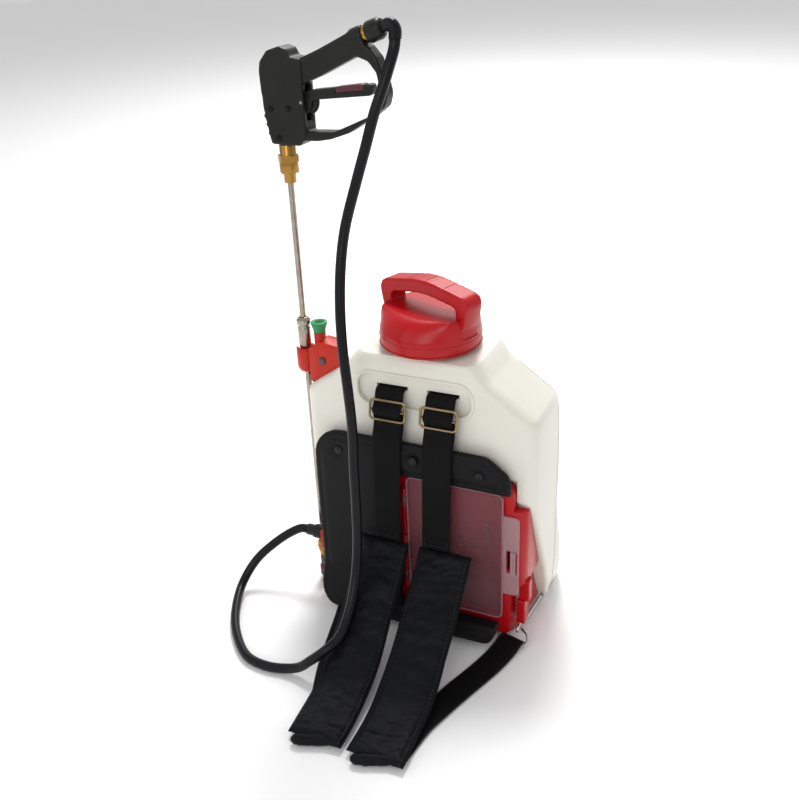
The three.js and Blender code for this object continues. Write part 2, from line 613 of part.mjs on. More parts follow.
function nozzleTip() {
  return onLance([[0, 3], [6, 3], [8.5, 7], [8.5, 22], [6.5, 24], [6.5, 41.65], [0, 41.65]]);
}

// The red bracket on the tank's left shoulder: a cup for the lance's coupler and a
// peg for the spare nozzle.
const PEG = { x: -156, y: -45 };

function wandHolder() {
  const wedge = prismY(outline([[-163, 341], [-156, 334], [-119.5, 358.5], [-118, 396, 3],
    [-146, 399, 4], [-163, 387]]), -60, -34);
  const cup = onLance([[0, 350], [10, 350], [13, 356], [13, 384], [0, 384]]);
  const bridge = box(-168, -158, -56, -38, 352, 384);
  const well = onLance([[0, 355], [9.3, 355], [9.3, 390], [0, 390]]);
  const pass = onLance([[0, 345], [5, 345], [5, 390], [0, 390]]);
  const mouth = box(-192, LANCE_X, LANCE_Y - 4.6, LANCE_Y + 4.6, 345, 390);
  const peg = moved(disc(8, 386, 407, 24), PEG.x + 4, PEG.y, 0);
  const pegHole = moved(disc(4.2, 390, 410, 16), PEG.x + 4, PEG.y, 0);
  const screwHole = rod([-143, -65, 372], [-143, -47.5, 372], 3.2, 12);
  // The tank's shoulder, grown a little, shapes the foot that sits on it.
  return cut(join(wedge, cup, bridge, peg), well, pass, mouth, pegHole, screwHole,
    tankBody(-GAP));
}

function holderScrew() {
  return along(turned([[0, -12], [2.6, -12], [2.6, 0], [5.2, 0], [4.4, 2.6], [0, 2.6]], 16),
    [-143, -60 - GAP, 372], [-143, -90, 372]);
}

function spareNozzle() {
  return moved(turned([[0, 392], [3.8, 392], [3.8, 407.4], [8, 407.4], [8.4, 411], [11, 419],
    [11, 422], [7, 422], [4, 417], [0, 416]], 28), PEG.x + 4, PEG.y, 0);
}

// ----------------------------------------------------------------- spray gun
function gunBody() {
  const head = outline([[-167, 769, 5], [-184, 764, 5], [-195, 751, 6], [-197, 738],
    [-195, 700], [-193, 684], [-188, 656, 4], [-148, 655, 4], [-139, 668, 4], [-139, 755, 4],
    [-153, 757, 3], [-158, 766, 5]]);
  const loop = outline([[-160, 752], [-146, 754, 6], [-116, 766, 30], [-81, 782, 4], [-74, 784],
    [-62, 774], [-53, 769, 5], [-42, 757, 8], [-36, 738, 14], [-31, 717, 12], [-35, 703, 10],
    [-50, 692, 12], [-84, 672, 14], [-108, 664, 12], [-126, 661, 6], [-160, 661]]);
  const opening = outline([[-139, 672, 4], [-103, 673, 12], [-62, 690, 12], [-46, 698, 6],
    [-40, 708, 6], [-41, 724, 8], [-44, 741, 8], [-54, 753, 6], [-68, 758, 5], [-116, 736, 20],
    [-139, 727]]);
  const half = GUN_THICK / 2;
  const grip = HANDLE_THICK / 2;
  const slot = box(-158, -135, GUN_Y - 7, GUN_Y + 7, 684, 726);
  const pinHole = rod([TRIGGER_PIVOT.x, GUN_Y - 20, TRIGGER_PIVOT.z],
    [TRIGGER_PIVOT.x, GUN_Y + 20, TRIGGER_PIVOT.z], 2.3, 12);
  const outlet = onLance([[0, 650], [4.4, 650], [4.4, 668], [0, 668]], 16);
  const boss = onInlet([[0, -17], [11.5, -17], [11.5, -GAP], [0, -GAP]], 0);
  const inlet = onInlet([[0, -12], [5, -12], [5, 5], [0, 5]], 0, 16);
  return cut(join(prismY(head, GUN_Y - half, GUN_Y + half), boss,
    cut(prismY(loop, GUN_Y - grip, GUN_Y + grip), prismY(opening, -80, -10))),
  slot, pinHole, outlet, inlet);
}

// The hose joins the gun on a line that leans up by 19 degrees.
const GUN_INLET = (() => {
  const lean = THREE.MathUtils.degToRad(19);
  return { run: [Math.cos(lean), 0, Math.sin(lean)], from: [-60, GUN_Y, 781] };
})();

function onInlet(profile, start, segments = 24) {
  const { from, run } = GUN_INLET;
  const at = from.map((v, i) => v + run[i] * start);
  return along(turned(profile, segments), at, at.map((v, i) => v + run[i] * 10));
}

// Brass union between the gun's boss and the nut that is screwed over its nose.
function inletFitting() {
  return onInlet([[0, -11], [4.7, -11], [4.7, 0], [9.5, 0], [9.5, 4], [7, 4], [7, 12], [0, 12]], 0);
}

function swivelNut() {
  return onInlet([[0, 12.4], [7.4, 12.4], [7.4, 4.4], [11, 4.4], [12.3, 6.4], [12.3, 20.5], [10, 24],
    [0, 24]], 0, 12);
}

// The lever runs under the grip; the locking catch lies in a notch of its top.
function trigger() {
  const lever = outline([[-149, 715, 4], [-149, 700, 4], [-142, 691, 3], [-134, 697, 3],
    [-131, 708.5, 4], [-52, 715.5, 4], [-51, 728.5, 4], [-125, 720.5], [-132, 719.5]]);
  const notch = [[-99.8, 717.4], [-61.8, 720.6], [-61.8, 740], [-99.8, 740]];
  const pinHole = rod([TRIGGER_PIVOT.x, GUN_Y - 20, TRIGGER_PIVOT.z],
    [TRIGGER_PIVOT.x, GUN_Y + 20, TRIGGER_PIVOT.z], 2.1, 12);
  return cut(prismY(lever, GUN_Y - 6.5, GUN_Y + 6.5), pinHole,
    prismY(outline(notch), GUN_Y - 8, GUN_Y + 8));
}

function triggerPin() {
  return rod([TRIGGER_PIVOT.x, GUN_Y - 13, TRIGGER_PIVOT.z],
    [TRIGGER_PIVOT.x, GUN_Y + 13, TRIGGER_PIVOT.z], 2, 12);
}

function safetyCatch() {
  return prismY(outline([[-98.8, 718, 2], [-62.3, 721.2], [-62.3, 727.6], [-66, 728, 1],
    [-98.8, 724, 2]], 3), GUN_Y - 6.5, GUN_Y + 6.5);
}

// ----------------------------------------------------------------- the hose
// Middle line of the free hose, from the gun's elbow down to the base's outlet nut.
const HOSE_ROUTE = [
  [-22, -49.6, 774.6], [-22.6, -51.5, 767], [-25.5, -60, 749], [-32, -69.5, 723],
  [-40, -75, 699], [-51, -80, 661], [-61, -86, 626], [-76, -96, 568], [-79, -108, 522],
  [-78, -118, 474], [-74, -126, 425], [-67, -133, 375], [-62, -138, 322], [-61, -143, 266],
  [-58, -150, 210], [-55, -160, 158], [-53, -178, 113], [-52, -204, 80], [-55, -229, 60],
  [-67, -246, 49], [-85.5, -253, 32.5], [-103, -255, 17], [-124, -257, 9.4], [-151, -260, 7],
  [-185, -254, 7], [-224, -221, 7.5], [-253, -179, 10], [-271, -130, 19], [-260, -103, 46],
  [-232, -82, 74], [-209, -71, 90], [-197, -68.4, 95.8], [-187.4, -68, 97],
];

function hose() {
  return sweep(HOSE_ROUTE, circle(HOSE_R, 8), 78);
}

// Rigid black elbow between the swivel nut and the hose.
function hoseElbow() {
  const { from, run } = GUN_INLET;
  const start = from.map((v, i) => v + run[i] * 24.4);
  return sweep([start, start.map((v, i) => v + run[i] * 3), [-27.5, -47.3, 792],
    [-22.3, -48.2, 786.5], [-22, -49, 776.4]], circle(7.4, 12), 14);
}

// ----------------------------------------------------------------- put together
add('tank_shell', tank(), 'tank');
add('lid', lid(), 'red');
add('lid_gasket', gasket(), 'rubber');
add('filler_strainer', strainer(), 'grey');
add('base_housing', base(), 'red');
FEET.forEach((place, i) => add(`base_foot_${i + 1}`, foot(place), 'rubber'));
add('battery_pack', battery(), 'grey');
add('pump_head', pump(), 'black');
add('pump_motor', motor(), 'steel');
add('outlet_fitting', outletFitting(), 'brass');
add('hose_nut', outletNut(), 'black');
add('power_switch', rockerSwitch(), 'black');
add('pressure_knob', pressureKnob(), 'black');
add('charge_socket_cap', chargeCap(), 'rubber');
add('battery_door', door(), 'clear');
add('door_hinge_pin', hingePin(), 'red');
add('door_latch', doorLatch(), 'clear');
add('back_pad', backPad(), 'cloth');
PAD_RIVETS.forEach((place, i) => add(`pad_rivet_${i + 1}`, padRivet(place), 'black'));
add('upper_webbing_left', upperWebbing(-STRAP_X), 'cloth');
add('upper_webbing_right', upperWebbing(STRAP_X), 'cloth');
add('buckle_left', buckle(-STRAP_X), 'bronze');
add('buckle_right', buckle(STRAP_X), 'bronze');
add('shoulder_pad_left', shoulderPad(-40, -29, 14), 'cloth');
add('shoulder_pad_right', shoulderPad(45, 52, 14), 'cloth');
add('lower_webbing_left', strap(LOWER_LEFT, LOWER_WEBBING, WEBBING_THICK), 'cloth');
add('lower_webbing_right', strap(LOWER_RIGHT, LOWER_WEBBING, WEBBING_THICK), 'cloth');
add('strap_ring_left', strapRing(-109, -90.5, 2.5, 10), 'steel');
add('strap_ring_right', strapRing(136.5, -91, 5.2, -12), 'steel');
add('strap_hook_left', sweep(HOOK_LEFT, circle(1.5, 8), 30), 'steel');
add('strap_hook_right', sweep(HOOK_RIGHT, circle(1.8, 8), 30), 'steel');
add('wand_holder', wandHolder(), 'red');
add('holder_screw', holderScrew(), 'steel');
add('spare_nozzle', spareNozzle(), 'green');
add('gun_body', gunBody(), 'black');
add('trigger', trigger(), 'black');
add('trigger_pin', triggerPin(), 'steel');
add('safety_catch', safetyCatch(), 'darkRed');
add('inlet_fitting', inletFitting(), 'brass');
add('swivel_nut', swivelNut(), 'black');
add('hose_elbow', hoseElbow(), 'rubber');
add('lance_nut', lanceNut(), 'brass');
add('lance_tube', lanceTube(427 + GAP, 607 - GAP), 'steel');
add('lance_coupler', coupler(), 'steel');
add('extension_tube', lanceTube(69 + GAP, 381 - GAP), 'steel');
add('nozzle_nut', nozzleNut(), 'brass');
add('nozzle_tip', nozzleTip(), 'darkRed');
add('hose', hose(), 'rubber');

export default sprayer;
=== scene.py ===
"""Looks for the backpack sprayer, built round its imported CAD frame, in metres."""

import json
import math

import bpy
from mathutils import Matrix, Vector, noise
from mathutils.kdtree import KDTree


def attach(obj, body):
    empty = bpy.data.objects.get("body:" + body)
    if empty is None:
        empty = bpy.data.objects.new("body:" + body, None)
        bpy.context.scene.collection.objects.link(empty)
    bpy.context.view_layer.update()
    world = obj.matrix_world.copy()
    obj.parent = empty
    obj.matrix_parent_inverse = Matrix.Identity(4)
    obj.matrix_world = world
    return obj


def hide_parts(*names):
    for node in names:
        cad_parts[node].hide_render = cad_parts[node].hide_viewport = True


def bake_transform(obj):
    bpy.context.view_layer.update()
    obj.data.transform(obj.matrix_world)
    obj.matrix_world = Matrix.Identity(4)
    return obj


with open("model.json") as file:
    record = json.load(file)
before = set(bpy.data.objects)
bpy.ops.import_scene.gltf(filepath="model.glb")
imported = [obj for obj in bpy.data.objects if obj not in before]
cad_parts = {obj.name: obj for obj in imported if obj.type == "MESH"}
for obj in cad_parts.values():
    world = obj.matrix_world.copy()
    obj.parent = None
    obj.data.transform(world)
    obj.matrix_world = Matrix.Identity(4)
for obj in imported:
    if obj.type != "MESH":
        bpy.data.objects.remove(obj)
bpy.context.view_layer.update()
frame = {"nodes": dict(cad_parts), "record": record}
NODES = frame["nodes"]
MM = 0.001


# ------------------------------------------------------------------ the camera
CAMERA_AT = (0.448, -1.065, 0.890)
CAMERA_ROUND = math.radians(25.5)
CAMERA_ABOVE = math.radians(26.6)
CAMERA_ROLL = math.radians(2.6)
CAMERA_LENS = 42.75
CAMERA_SENSOR = 36


def place_camera():
    """Stands at the viewing angle, round to the right, above and rolled a little."""
    back = Vector((math.sin(CAMERA_ROUND) * math.cos(CAMERA_ABOVE),
                   -math.cos(CAMERA_ROUND) * math.cos(CAMERA_ABOVE),
                   math.sin(CAMERA_ABOVE)))
    level = Vector((0, 0, 1)).cross(back).normalized()
    right = level * math.cos(CAMERA_ROLL) - back.cross(level) * math.sin(CAMERA_ROLL)
    up = back.cross(right)
    data = bpy.data.cameras.new("view")
    data.lens = CAMERA_LENS
    data.sensor_width = CAMERA_SENSOR
    data.clip_start, data.clip_end = 0.02, 50
    camera = bpy.data.objects.new("view", data)
    turn = Matrix((right, up, back)).transposed().to_4x4()
    camera.matrix_world = Matrix.Translation(CAMERA_AT) @ turn
    bpy.context.collection.objects.link(camera)
    bpy.context.scene.camera = camera


place_camera()


# --------------------------------------------------------- curves and meshes
def smooth_path(points, per_span=8):
    """A centripetal Catmull-Rom line through the points, as the CAD sweeps follow."""
    pts = [Vector(p) for p in points]
    pts = [pts[0] * 2 - pts[1], *pts, pts[-1] * 2 - pts[-2]]
    out = []
    for p0, p1, p2, p3 in zip(pts, pts[1:], pts[2:], pts[3:]):
        t0 = 0.0
        t1 = t0 + max((p1 - p0).length, 1e-6) ** 0.5
        t2 = t1 + max((p2 - p1).length, 1e-6) ** 0.5
        t3 = t2 + max((p3 - p2).length, 1e-6) ** 0.5
        for k in range(per_span):
            t = t1 + (t2 - t1) * k / per_span
            a1 = p0 * ((t1 - t) / (t1 - t0)) + p1 * ((t - t0) / (t1 - t0))
            a2 = p1 * ((t2 - t) / (t2 - t1)) + p2 * ((t - t1) / (t2 - t1))
            a3 = p2 * ((t3 - t) / (t3 - t2)) + p3 * ((t - t2) / (t3 - t2))
            b1 = a1 * ((t2 - t) / (t2 - t0)) + a2 * ((t - t0) / (t2 - t0))
            b2 = a2 * ((t3 - t) / (t3 - t1)) + a3 * ((t - t1) / (t3 - t1))
            out.append(b1 * ((t2 - t) / (t2 - t1)) + b2 * ((t - t1) / (t2 - t1)))
    out.append(pts[-2].copy())
    return out


def length_of(path):
    """The length of a path along its points."""
    return sum((b - a).length for a, b in zip(path, path[1:]))


def mesh_object(name, verts, faces, material, smooth=True):
    """A linked object from vertices and faces, with one material."""
    mesh = bpy.data.meshes.new(name)
    mesh.from_pydata([tuple(v) for v in verts], [], faces)
    mesh.update()
    mesh.materials.append(material)
    if smooth:
        mesh.polygons.foreach_set("use_smooth", [True] * len(mesh.polygons))
    obj = bpy.data.objects.new(name, mesh)
    bpy.context.collection.objects.link(obj)
    return obj


def frames_along(path):
    """Across and up at each point of a path, carried along without twisting."""
    tangents = []
    for i in range(len(path)):
        a, b = path[max(i - 1, 0)], path[min(i + 1, len(path) - 1)]
        tangents.append((b - a).normalized())
    up = Vector((0, 0, 1))
    if abs(up.dot(tangents[0])) > 0.95:  # too near to upright to start from
        up = Vector((0, 1, 0))
    rows = []
    for t in tangents:
        up = (up - t * up.dot(t)).normalized()
        rows.append((t.cross(up).normalized(), up.copy()))
    return rows


def tube(name, path, radius, material, sides=16, close=False):
    """Round wire or hose along a path, radius a number or one for each point."""
    n = len(path)
    radii = radius if hasattr(radius, "__len__") else [radius] * n
    verts, faces = [], []
    for p, (across, up), r in zip(path, frames_along(path), radii):
        for k in range(sides):
            a = 2 * math.pi * k / sides
            verts.append(p + across * (r * math.cos(a)) + up * (r * math.sin(a)))
    rings = n if close else n - 1
    for i in range(rings):
        j = (i + 1) % n
        for k in range(sides):
            m = (k + 1) % sides
            faces.append((i * sides + k, i * sides + m, j * sides + m, j * sides + k))
    if not close:
        faces.append(tuple(reversed(range(sides))))
        faces.append(tuple((n - 1) * sides + k for k in range(sides)))
    return mesh_object(name, verts, faces, material)


STRAP_STEPS = 6  # points along a strap from one station to the next
STRAP_CUTS = 14  # spans across a strap
STRAP_ROUNDING = 0.35  # how far in the edge is rounded, in thicknesses
STRAP_EDGE = 0.08  # half thickness left at the very edge, in thicknesses


def strap_rows(stations):
    """Point, across and up along stations of x, y, z and, if given, lean in degrees."""
    leans = [s[3] if len(s) > 3 else 0.0 for s in stations]
    path = smooth_path([s[:3] for s in stations], STRAP_STEPS)
    rows = []
    n = len(path)
    for i, p in enumerate(path):
        span = min(i // STRAP_STEPS, len(leans) - 2)
        f = (i - span * STRAP_STEPS) / STRAP_STEPS
        lean = math.radians(leans[span] * (1 - f) + leans[span + 1] * f)
        t = (path[min(i + 1, n - 1)] - path[max(i - 1, 0)]).normalized()
        across = Vector((math.cos(lean), math.sin(lean), 0))
        across = (across - t * across.dot(t)).normalized()
        rows.append((p, across, across.cross(t).normalized()))
    return rows


def strip(name, stations, width, thick, material, wrinkle=0.0, seed=0.0):
    """A flat strap with rounded edges, and its rows; wrinkle is the folds' height in metres."""
    rows = strap_rows(stations)
    n = len(rows)
    profile = [(-1 + 2 * k / STRAP_CUTS, 1) for k in range(STRAP_CUTS + 1)]
    profile += [(1 - 2 * k / STRAP_CUTS, -1) for k in range(STRAP_CUTS + 1)]
    verts, faces = [], []
    for p, across, up in rows:
        for u, side in profile:
            roll = min(1.0, (1 - abs(u)) * width / (2 * thick * STRAP_ROUNDING))
            h = thick / 2 * math.sqrt(max(0.0, 1 - (1 - roll) ** 2))
            q = p + across * (u * width / 2)
            if wrinkle:
                h += wrinkle * noise.noise(Vector((q.x * 22 + seed, q.y * 34, seed + side)))
                h += wrinkle * 0.5 * noise.noise(Vector((q.x * 60, q.y * 90 + seed, side)))
            verts.append(q + up * (side * max(h, thick * STRAP_EDGE)))
    m = len(profile)
    for i in range(n - 1):
        for k in range(m):
            j = (k + 1) % m
            faces.append((i * m + k, i * m + j, (i + 1) * m + j, (i + 1) * m + k))
    faces.append(tuple(reversed(range(m))))
    faces.append(tuple((n - 1) * m + k for k in range(m)))
    return mesh_object(name, verts, faces, material), rows


# ------------------------------------------------------------------ materials
def material(name, color, rough, metal=0.0, bump=None, mottle=None, **sockets):
    """A Principled material; bump is (scale, strength), mottle is (colour, scale, amount)."""
    m = bpy.data.materials.new(name)
    m.use_nodes = True
    nodes, links = m.node_tree.nodes, m.node_tree.links
    shader = nodes["Principled BSDF"]
    shader.inputs["Base Color"].default_value = (*color, 1)
    shader.inputs["Roughness"].default_value = rough
    shader.inputs["Metallic"].default_value = metal
    for key, value in sockets.items():
        shader.inputs[key.replace("_", " ")].default_value = value
    coords = nodes.new("ShaderNodeTexCoord")
    if mottle:
        other, scale, amount = mottle
        grain = nodes.new("ShaderNodeTexNoise")
        grain.inputs["Scale"].default_value = scale
        grain.inputs["Detail"].default_value = 4
        ramp = nodes.new("ShaderNodeValToRGB")
        ramp.color_ramp.elements[0].position = 0.5 - amount
        ramp.color_ramp.elements[1].position = 0.5 + amount
        ramp.color_ramp.elements[0].color = (*other, 1)
        ramp.color_ramp.elements[1].color = (*color, 1)
        links.new(coords.outputs["Object"], grain.inputs["Vector"])
        links.new(grain.outputs["Fac"], ramp.inputs["Fac"])
        links.new(ramp.outputs["Color"], shader.inputs["Base Color"])
    if bump:
        scale, strength = bump
        relief = nodes.new("ShaderNodeTexNoise")
        relief.inputs["Scale"].default_value = scale
        relief.inputs["Detail"].default_value = 3
        node = nodes.new("ShaderNodeBump")
        node.inputs["Strength"].default_value = strength
        node.inputs["Distance"].default_value = 1.0 * MM
        links.new(coords.outputs["Object"], relief.inputs["Vector"])
        links.new(relief.outputs["Fac"], node.inputs["Height"])
        links.new(node.outputs["Normal"], shader.inputs["Normal"])
    return m


def weave(name, color, rough, period, strength, axes):
    """Woven cloth: crossed ribs of the given period, in metres, along two axes."""
    m = material(name, color, rough, mottle=([c * 0.6 for c in color], 18, 0.3),
                 Specular_IOR_Level=0.12)
    nodes, links = m.node_tree.nodes, m.node_tree.links
    coords = nodes.new("ShaderNodeTexCoord")
    heights = []
    for axis in axes:
        wave = nodes.new("ShaderNodeTexWave")
        wave.bands_direction = axis
        wave.inputs["Scale"].default_value = math.pi / (10 * period)
        wave.inputs["Distortion"].default_value = 0.4
        links.new(coords.outputs["Object"], wave.inputs["Vector"])
        heights.append(wave.outputs["Fac"])
    join = nodes.new("ShaderNodeMath")
    join.operation = "MULTIPLY"
    links.new(heights[0], join.inputs[0])
    links.new(heights[1], join.inputs[1])
    node = nodes.new("ShaderNodeBump")
    node.inputs["Strength"].default_value = strength
    node.inputs["Distance"].default_value = 0.5 * MM
    links.new(join.outputs[0], node.inputs["Height"])
    links.new(node.outputs["Normal"], nodes["Principled BSDF"].inputs["Normal"])
    return m


def lighter_beyond(m, x, color):
    """Changes the material's colour beyond a given X, as on the door's moulded tab."""
    nodes, links = m.node_tree.nodes, m.node_tree.links
    shader = nodes["Principled BSDF"]
    coords = nodes.new("ShaderNodeTexCoord")
    split = nodes.new("ShaderNodeSeparateXYZ")
    span = nodes.new("ShaderNodeMapRange")
    span.inputs["From Min"].default_value = x
    span.inputs["From Max"].default_value = x + 2 * MM
    mix = nodes.new("ShaderNodeMix")
    mix.data_type = "RGBA"
    mix.inputs["A"].default_value = shader.inputs["Base Color"].default_value
    mix.inputs["B"].default_value = (*color, 1)
    links.new(coords.outputs["Object"], split.inputs["Vector"])
    links.new(split.outputs["X"], span.inputs["Value"])
    links.new(span.outputs["Result"], mix.inputs["Factor"])
    links.new(mix.outputs["Result"], shader.inputs["Base Color"])


WEBBING_BLACK = (0.0042, 0.0042, 0.005)
WEBBING_RIB = 0.0018
SATIN_RIB = 0.0008

MAT = {
    "tank_plastic": material("tank_plastic", (0.79, 0.78, 0.70), 0.36, bump=(9, 0.25),
                             mottle=((0.72, 0.70, 0.61), 4, 0.35), Subsurface_Weight=0.12,
                             Subsurface_Radius=(0.03, 0.03, 0.02), Subsurface_Scale=0.3),
    "red_plastic": material("red_plastic", (0.42, 0.002, 0.006), 0.31, bump=(260, 0.05),
                            Specular_IOR_Level=0.32),
    "holder_red": material("holder_red", (0.50, 0.016, 0.003), 0.34, Specular_IOR_Level=0.32),
    "dark_red_plastic": material("dark_red_plastic", (0.075, 0.004, 0.010), 0.45),
    "green_plastic": material("green_plastic", (0.012, 0.24, 0.075), 0.4),
    "clear_door": material("clear_door", (0.24, 0.085, 0.10), 0.3, bump=(300, 0.08),
                           Alpha=0.42, Specular_IOR_Level=0.3),
    "black_plastic": material("black_plastic", (0.0085, 0.0088, 0.0075), 0.4, bump=(700, 0.12),
                              mottle=((0.014, 0.014, 0.012), 40, 0.4),
                              Specular_IOR_Level=0.22),
    "black_rubber": material("black_rubber", (0.005, 0.005, 0.0065), 0.32,
                             Specular_IOR_Level=0.2),
    "strap_fabric": weave("strap_fabric", WEBBING_BLACK, 0.66, WEBBING_RIB, 0.6, "XZ"),
    "floor_strap": weave("floor_strap", WEBBING_BLACK, 0.6, WEBBING_RIB, 0.6, "XY"),
    "satin": weave("satin", (0.0032, 0.0036, 0.005), 0.37, SATIN_RIB, 0.3, "XY"),
    "pad_foam": material("pad_foam", (0.0056, 0.0058, 0.0068), 0.55, bump=(420, 0.3),
                         Specular_IOR_Level=0.16),
    "stitch": material("stitch", (0.013, 0.013, 0.016), 0.6),
    # painted highlight: pale lines along the lower webbing's woven edges stand in for light
    # glinting off them
    "edge_glint_paint": material("edge_glint_paint", (0.05, 0.05, 0.054), 0.5),
    "door_edge": material("door_edge", (0.36, 0.19, 0.21), 0.3, Alpha=0.7),
    "dark_grip": material("dark_grip", (0.006, 0.006, 0.007), 0.6,
                          Specular_IOR_Level=0.15),
    "wire": material("wire", (0.62, 0.61, 0.58), 0.2, 1.0),
    "brass": material("brass", (0.37, 0.205, 0.05), 0.26, 1.0, bump=(160, 0.15)),
    "bronze_steel": material("bronze_steel", (0.34, 0.25, 0.13), 0.3, 1.0, bump=(300, 0.15)),
    "steel": material("steel", (0.46, 0.42, 0.37), 0.24, 1.0, bump=(220, 0.1),
                      mottle=((0.30, 0.24, 0.18), 60, 0.3)),
    "grey_plastic": material("grey_plastic", (0.06, 0.065, 0.07), 0.5, bump=(500, 0.1)),
}


# --------------------------------------------------------- the CAD's own pieces
def dress_frame():
    """Gives every CAD node its record slot's material, and a few a closer one."""
    slots = {s["node"]: s["material_slot"] for s in frame["record"]["subparts"]}
    for name, obj in NODES.items():
        obj.data.materials.clear()
        obj.data.materials.append(MAT[slots[name]])
    for name in ("strap_ring_left", "strap_ring_right", "strap_hook_left", "strap_hook_right"):
        NODES[name].data.materials[0] = MAT["wire"]
    NODES["wand_holder"].data.materials[0] = MAT["holder_red"]
    NODES["holder_screw"].data.materials[0] = MAT["grey_plastic"]


EASED = {  # node: (bevel width in mm, segments)
    "tank_shell": (2.2, 3), "base_housing": (1.5, 2), "trigger": (1.8, 2),
    "safety_catch": (1.0, 2), "wand_holder": (1.0, 2), "battery_door": (0.6, 2),
    "door_latch": (0.5, 2), "swivel_nut": (0.8, 2), "lance_nut": (0.7, 2),
    "nozzle_nut": (0.7, 2), "nozzle_tip": (0.8, 2), "hose_nut": (0.8, 2),
    "pressure_knob": (0.8, 2), "power_switch": (0.8, 2), "battery_pack": (2.0, 2),
    "pump_head": (2.0, 2), "lance_coupler": (0.5, 2), "spare_nozzle": (0.5, 2),
    "inlet_fitting": (0.5, 2), "outlet_fitting": (0.5, 2), "charge_socket_cap": (0.6, 2),
}
EASED_ANGLE = math.radians(38)  # edges sharper than this are eased
SMOOTH_ANGLE = math.radians(34)  # edges flatter than this are shaded as one surface
WELD_DISTANCE = 2e-6


def ease_edges():
    """Rounds the sharp edges of the nodes in EASED by modifiers."""
    for name, (width, segments) in EASED.items():
        obj = NODES[name]
        weld = obj.modifiers.new("weld", "WELD")
        weld.merge_threshold = WELD_DISTANCE
        bevel = obj.modifiers.new("bevel", "BEVEL")
        bevel.width = width * MM
        bevel.segments = segments
        bevel.limit_method = "ANGLE"
        bevel.angle_limit = EASED_ANGLE
        bevel.use_clamp_overlap = True


def smooth_nodes():
    """Shades each node smooth, with its own edges where two faces meet at an angle."""
    for obj in NODES.values():
        bpy.context.view_layer.objects.active = obj
        with bpy.context.temp_override(object=obj, active_object=obj, selected_objects=[obj],
                                       selected_editable_objects=[obj]):
            try:
                bpy.ops.mesh.customdata_custom_splitnormals_clear()
            except RuntimeError:
                pass  # a node without normals of its own has nothing to clear
            bpy.ops.object.shade_smooth_by_angle(angle=SMOOTH_ANGLE)


DOOR_TAB_X = 0.1205  # where the door's clear panel ends and its moulded tab begins
DOOR_TAB_COLOR = (0.50, 0.34, 0.36)

dress_frame()
smooth_nodes()
ease_edges()
lighter_beyond(MAT["clear_door"], DOOR_TAB_X, DOOR_TAB_COLOR)


# ------------------------------------------------------------ making new pieces
def final(obj, body, slot, *replaced):
    """Rides a made piece on its body and hides the CAD nodes it stands for; its slot is not used.
    """
    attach(obj, body)
    if replaced:
        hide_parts(*replaced)
    return obj


def join(name, objects):
    """One object out of several."""
    with bpy.context.temp_override(active_object=objects[0], object=objects[0],
                                   selected_objects=objects,
                                   selected_editable_objects=objects):
        bpy.ops.object.join()
    objects[0].name = name
    return objects[0]


def bevelled(obj, width):
    """Rounds an object's sharp edges over a width in mm."""
    bevel = obj.modifiers.new("bevel", "BEVEL")
    bevel.width = width * MM
    bevel.segments = 3
    bevel.limit_method = "ANGLE"
    bevel.angle_limit = math.radians(40)
    return obj


def relaxed(obj, iterations):
    """Smooths an object's mesh by a modifier."""
    modifier = obj.modifiers.new("relax", "SMOOTH")
    modifier.iterations = iterations
    modifier.factor = 0.5
    return obj


def bake(obj):
    """Turns an object's modifiers into its mesh."""
    mesh = bpy.data.meshes.new_from_object(
        obj.evaluated_get(bpy.context.evaluated_depsgraph_get()))
    obj.modifiers.clear()
    obj.data = mesh
    return obj


def prism(name, centre, axis, radius, length, sides, mat):
    """A prism or drum in mm, from its centre along an axis; radius is to the corners."""
    axis = Vector(axis).normalized()
    side = axis.orthogonal().normalized()
    other = axis.cross(side)
    verts = []
    for end in (-0.5, 0.5):
        for k in range(sides):
            a = 2 * math.pi * (k + 0.5) / sides
            verts.append((Vector(centre) + axis * (end * length)
                          + side * (radius * math.cos(a)) + other * (radius * math.sin(a))) * MM)
    faces = [tuple(reversed(range(sides))), tuple(range(sides, 2 * sides))]
    faces += [(k, (k + 1) % sides, sides + (k + 1) % sides, sides + k) for k in range(sides)]
    return mesh_object(name, verts, faces, mat, sides > 12)


def block(name, lo, hi, mat, ease):
    """A box in mm, from corner to corner, with edges eased over a width."""
    (x0, y0, z0), (x1, y1, z1) = lo, hi
    verts = [Vector(v) * MM for v in (
        (x0, y0, z0), (x1, y0, z0), (x1, y1, z0), (x0, y1, z0),
        (x0, y0, z1), (x1, y0, z1), (x1, y1, z1), (x0, y1, z1))]
    faces = [(3, 2, 1, 0), (4, 5, 6, 7), (0, 1, 5, 4), (1, 2, 6, 5), (2, 3, 7, 6), (3, 0, 4, 7)]
    return bevelled(mesh_object(name, verts, faces, mat, False), ease)


def rounded_rect(cx, cz, w, h, r, y, steps=6):
    """A closed path in metres round a rectangle in the XZ plane, whose sizes are in mm."""
    out = []
    for sx, sz, start in ((1, 1, 0), (-1, 1, 90), (-1, -1, 180), (1, -1, 270)):
        for k in range(steps + 1):
            a = math.radians(start + 90 * k / steps)
            out.append(Vector((cx + sx * (w / 2 - r) + r * math.cos(a), y,
                               cz + sz * (h / 2 - r) + r * math.sin(a))) * MM)
    return out


def refined(node, voxel, relax):
    """A fine, evenly meshed copy of a CAD node's shape, as a new object."""
    obj = bpy.data.objects.new(node + "_form", NODES[node].data.copy())
    bpy.context.collection.objects.link(obj)
    obj.data.materials.clear()
    remesh = obj.modifiers.new("remesh", "REMESH")
    remesh.mode = "VOXEL"
    remesh.voxel_size = voxel * MM
    smooth = obj.modifiers.new("smooth", "SMOOTH")
    smooth.iterations = relax
    polygons = bake(obj).data.polygons
    polygons.foreach_set("use_smooth", [True] * len(polygons))
    return obj


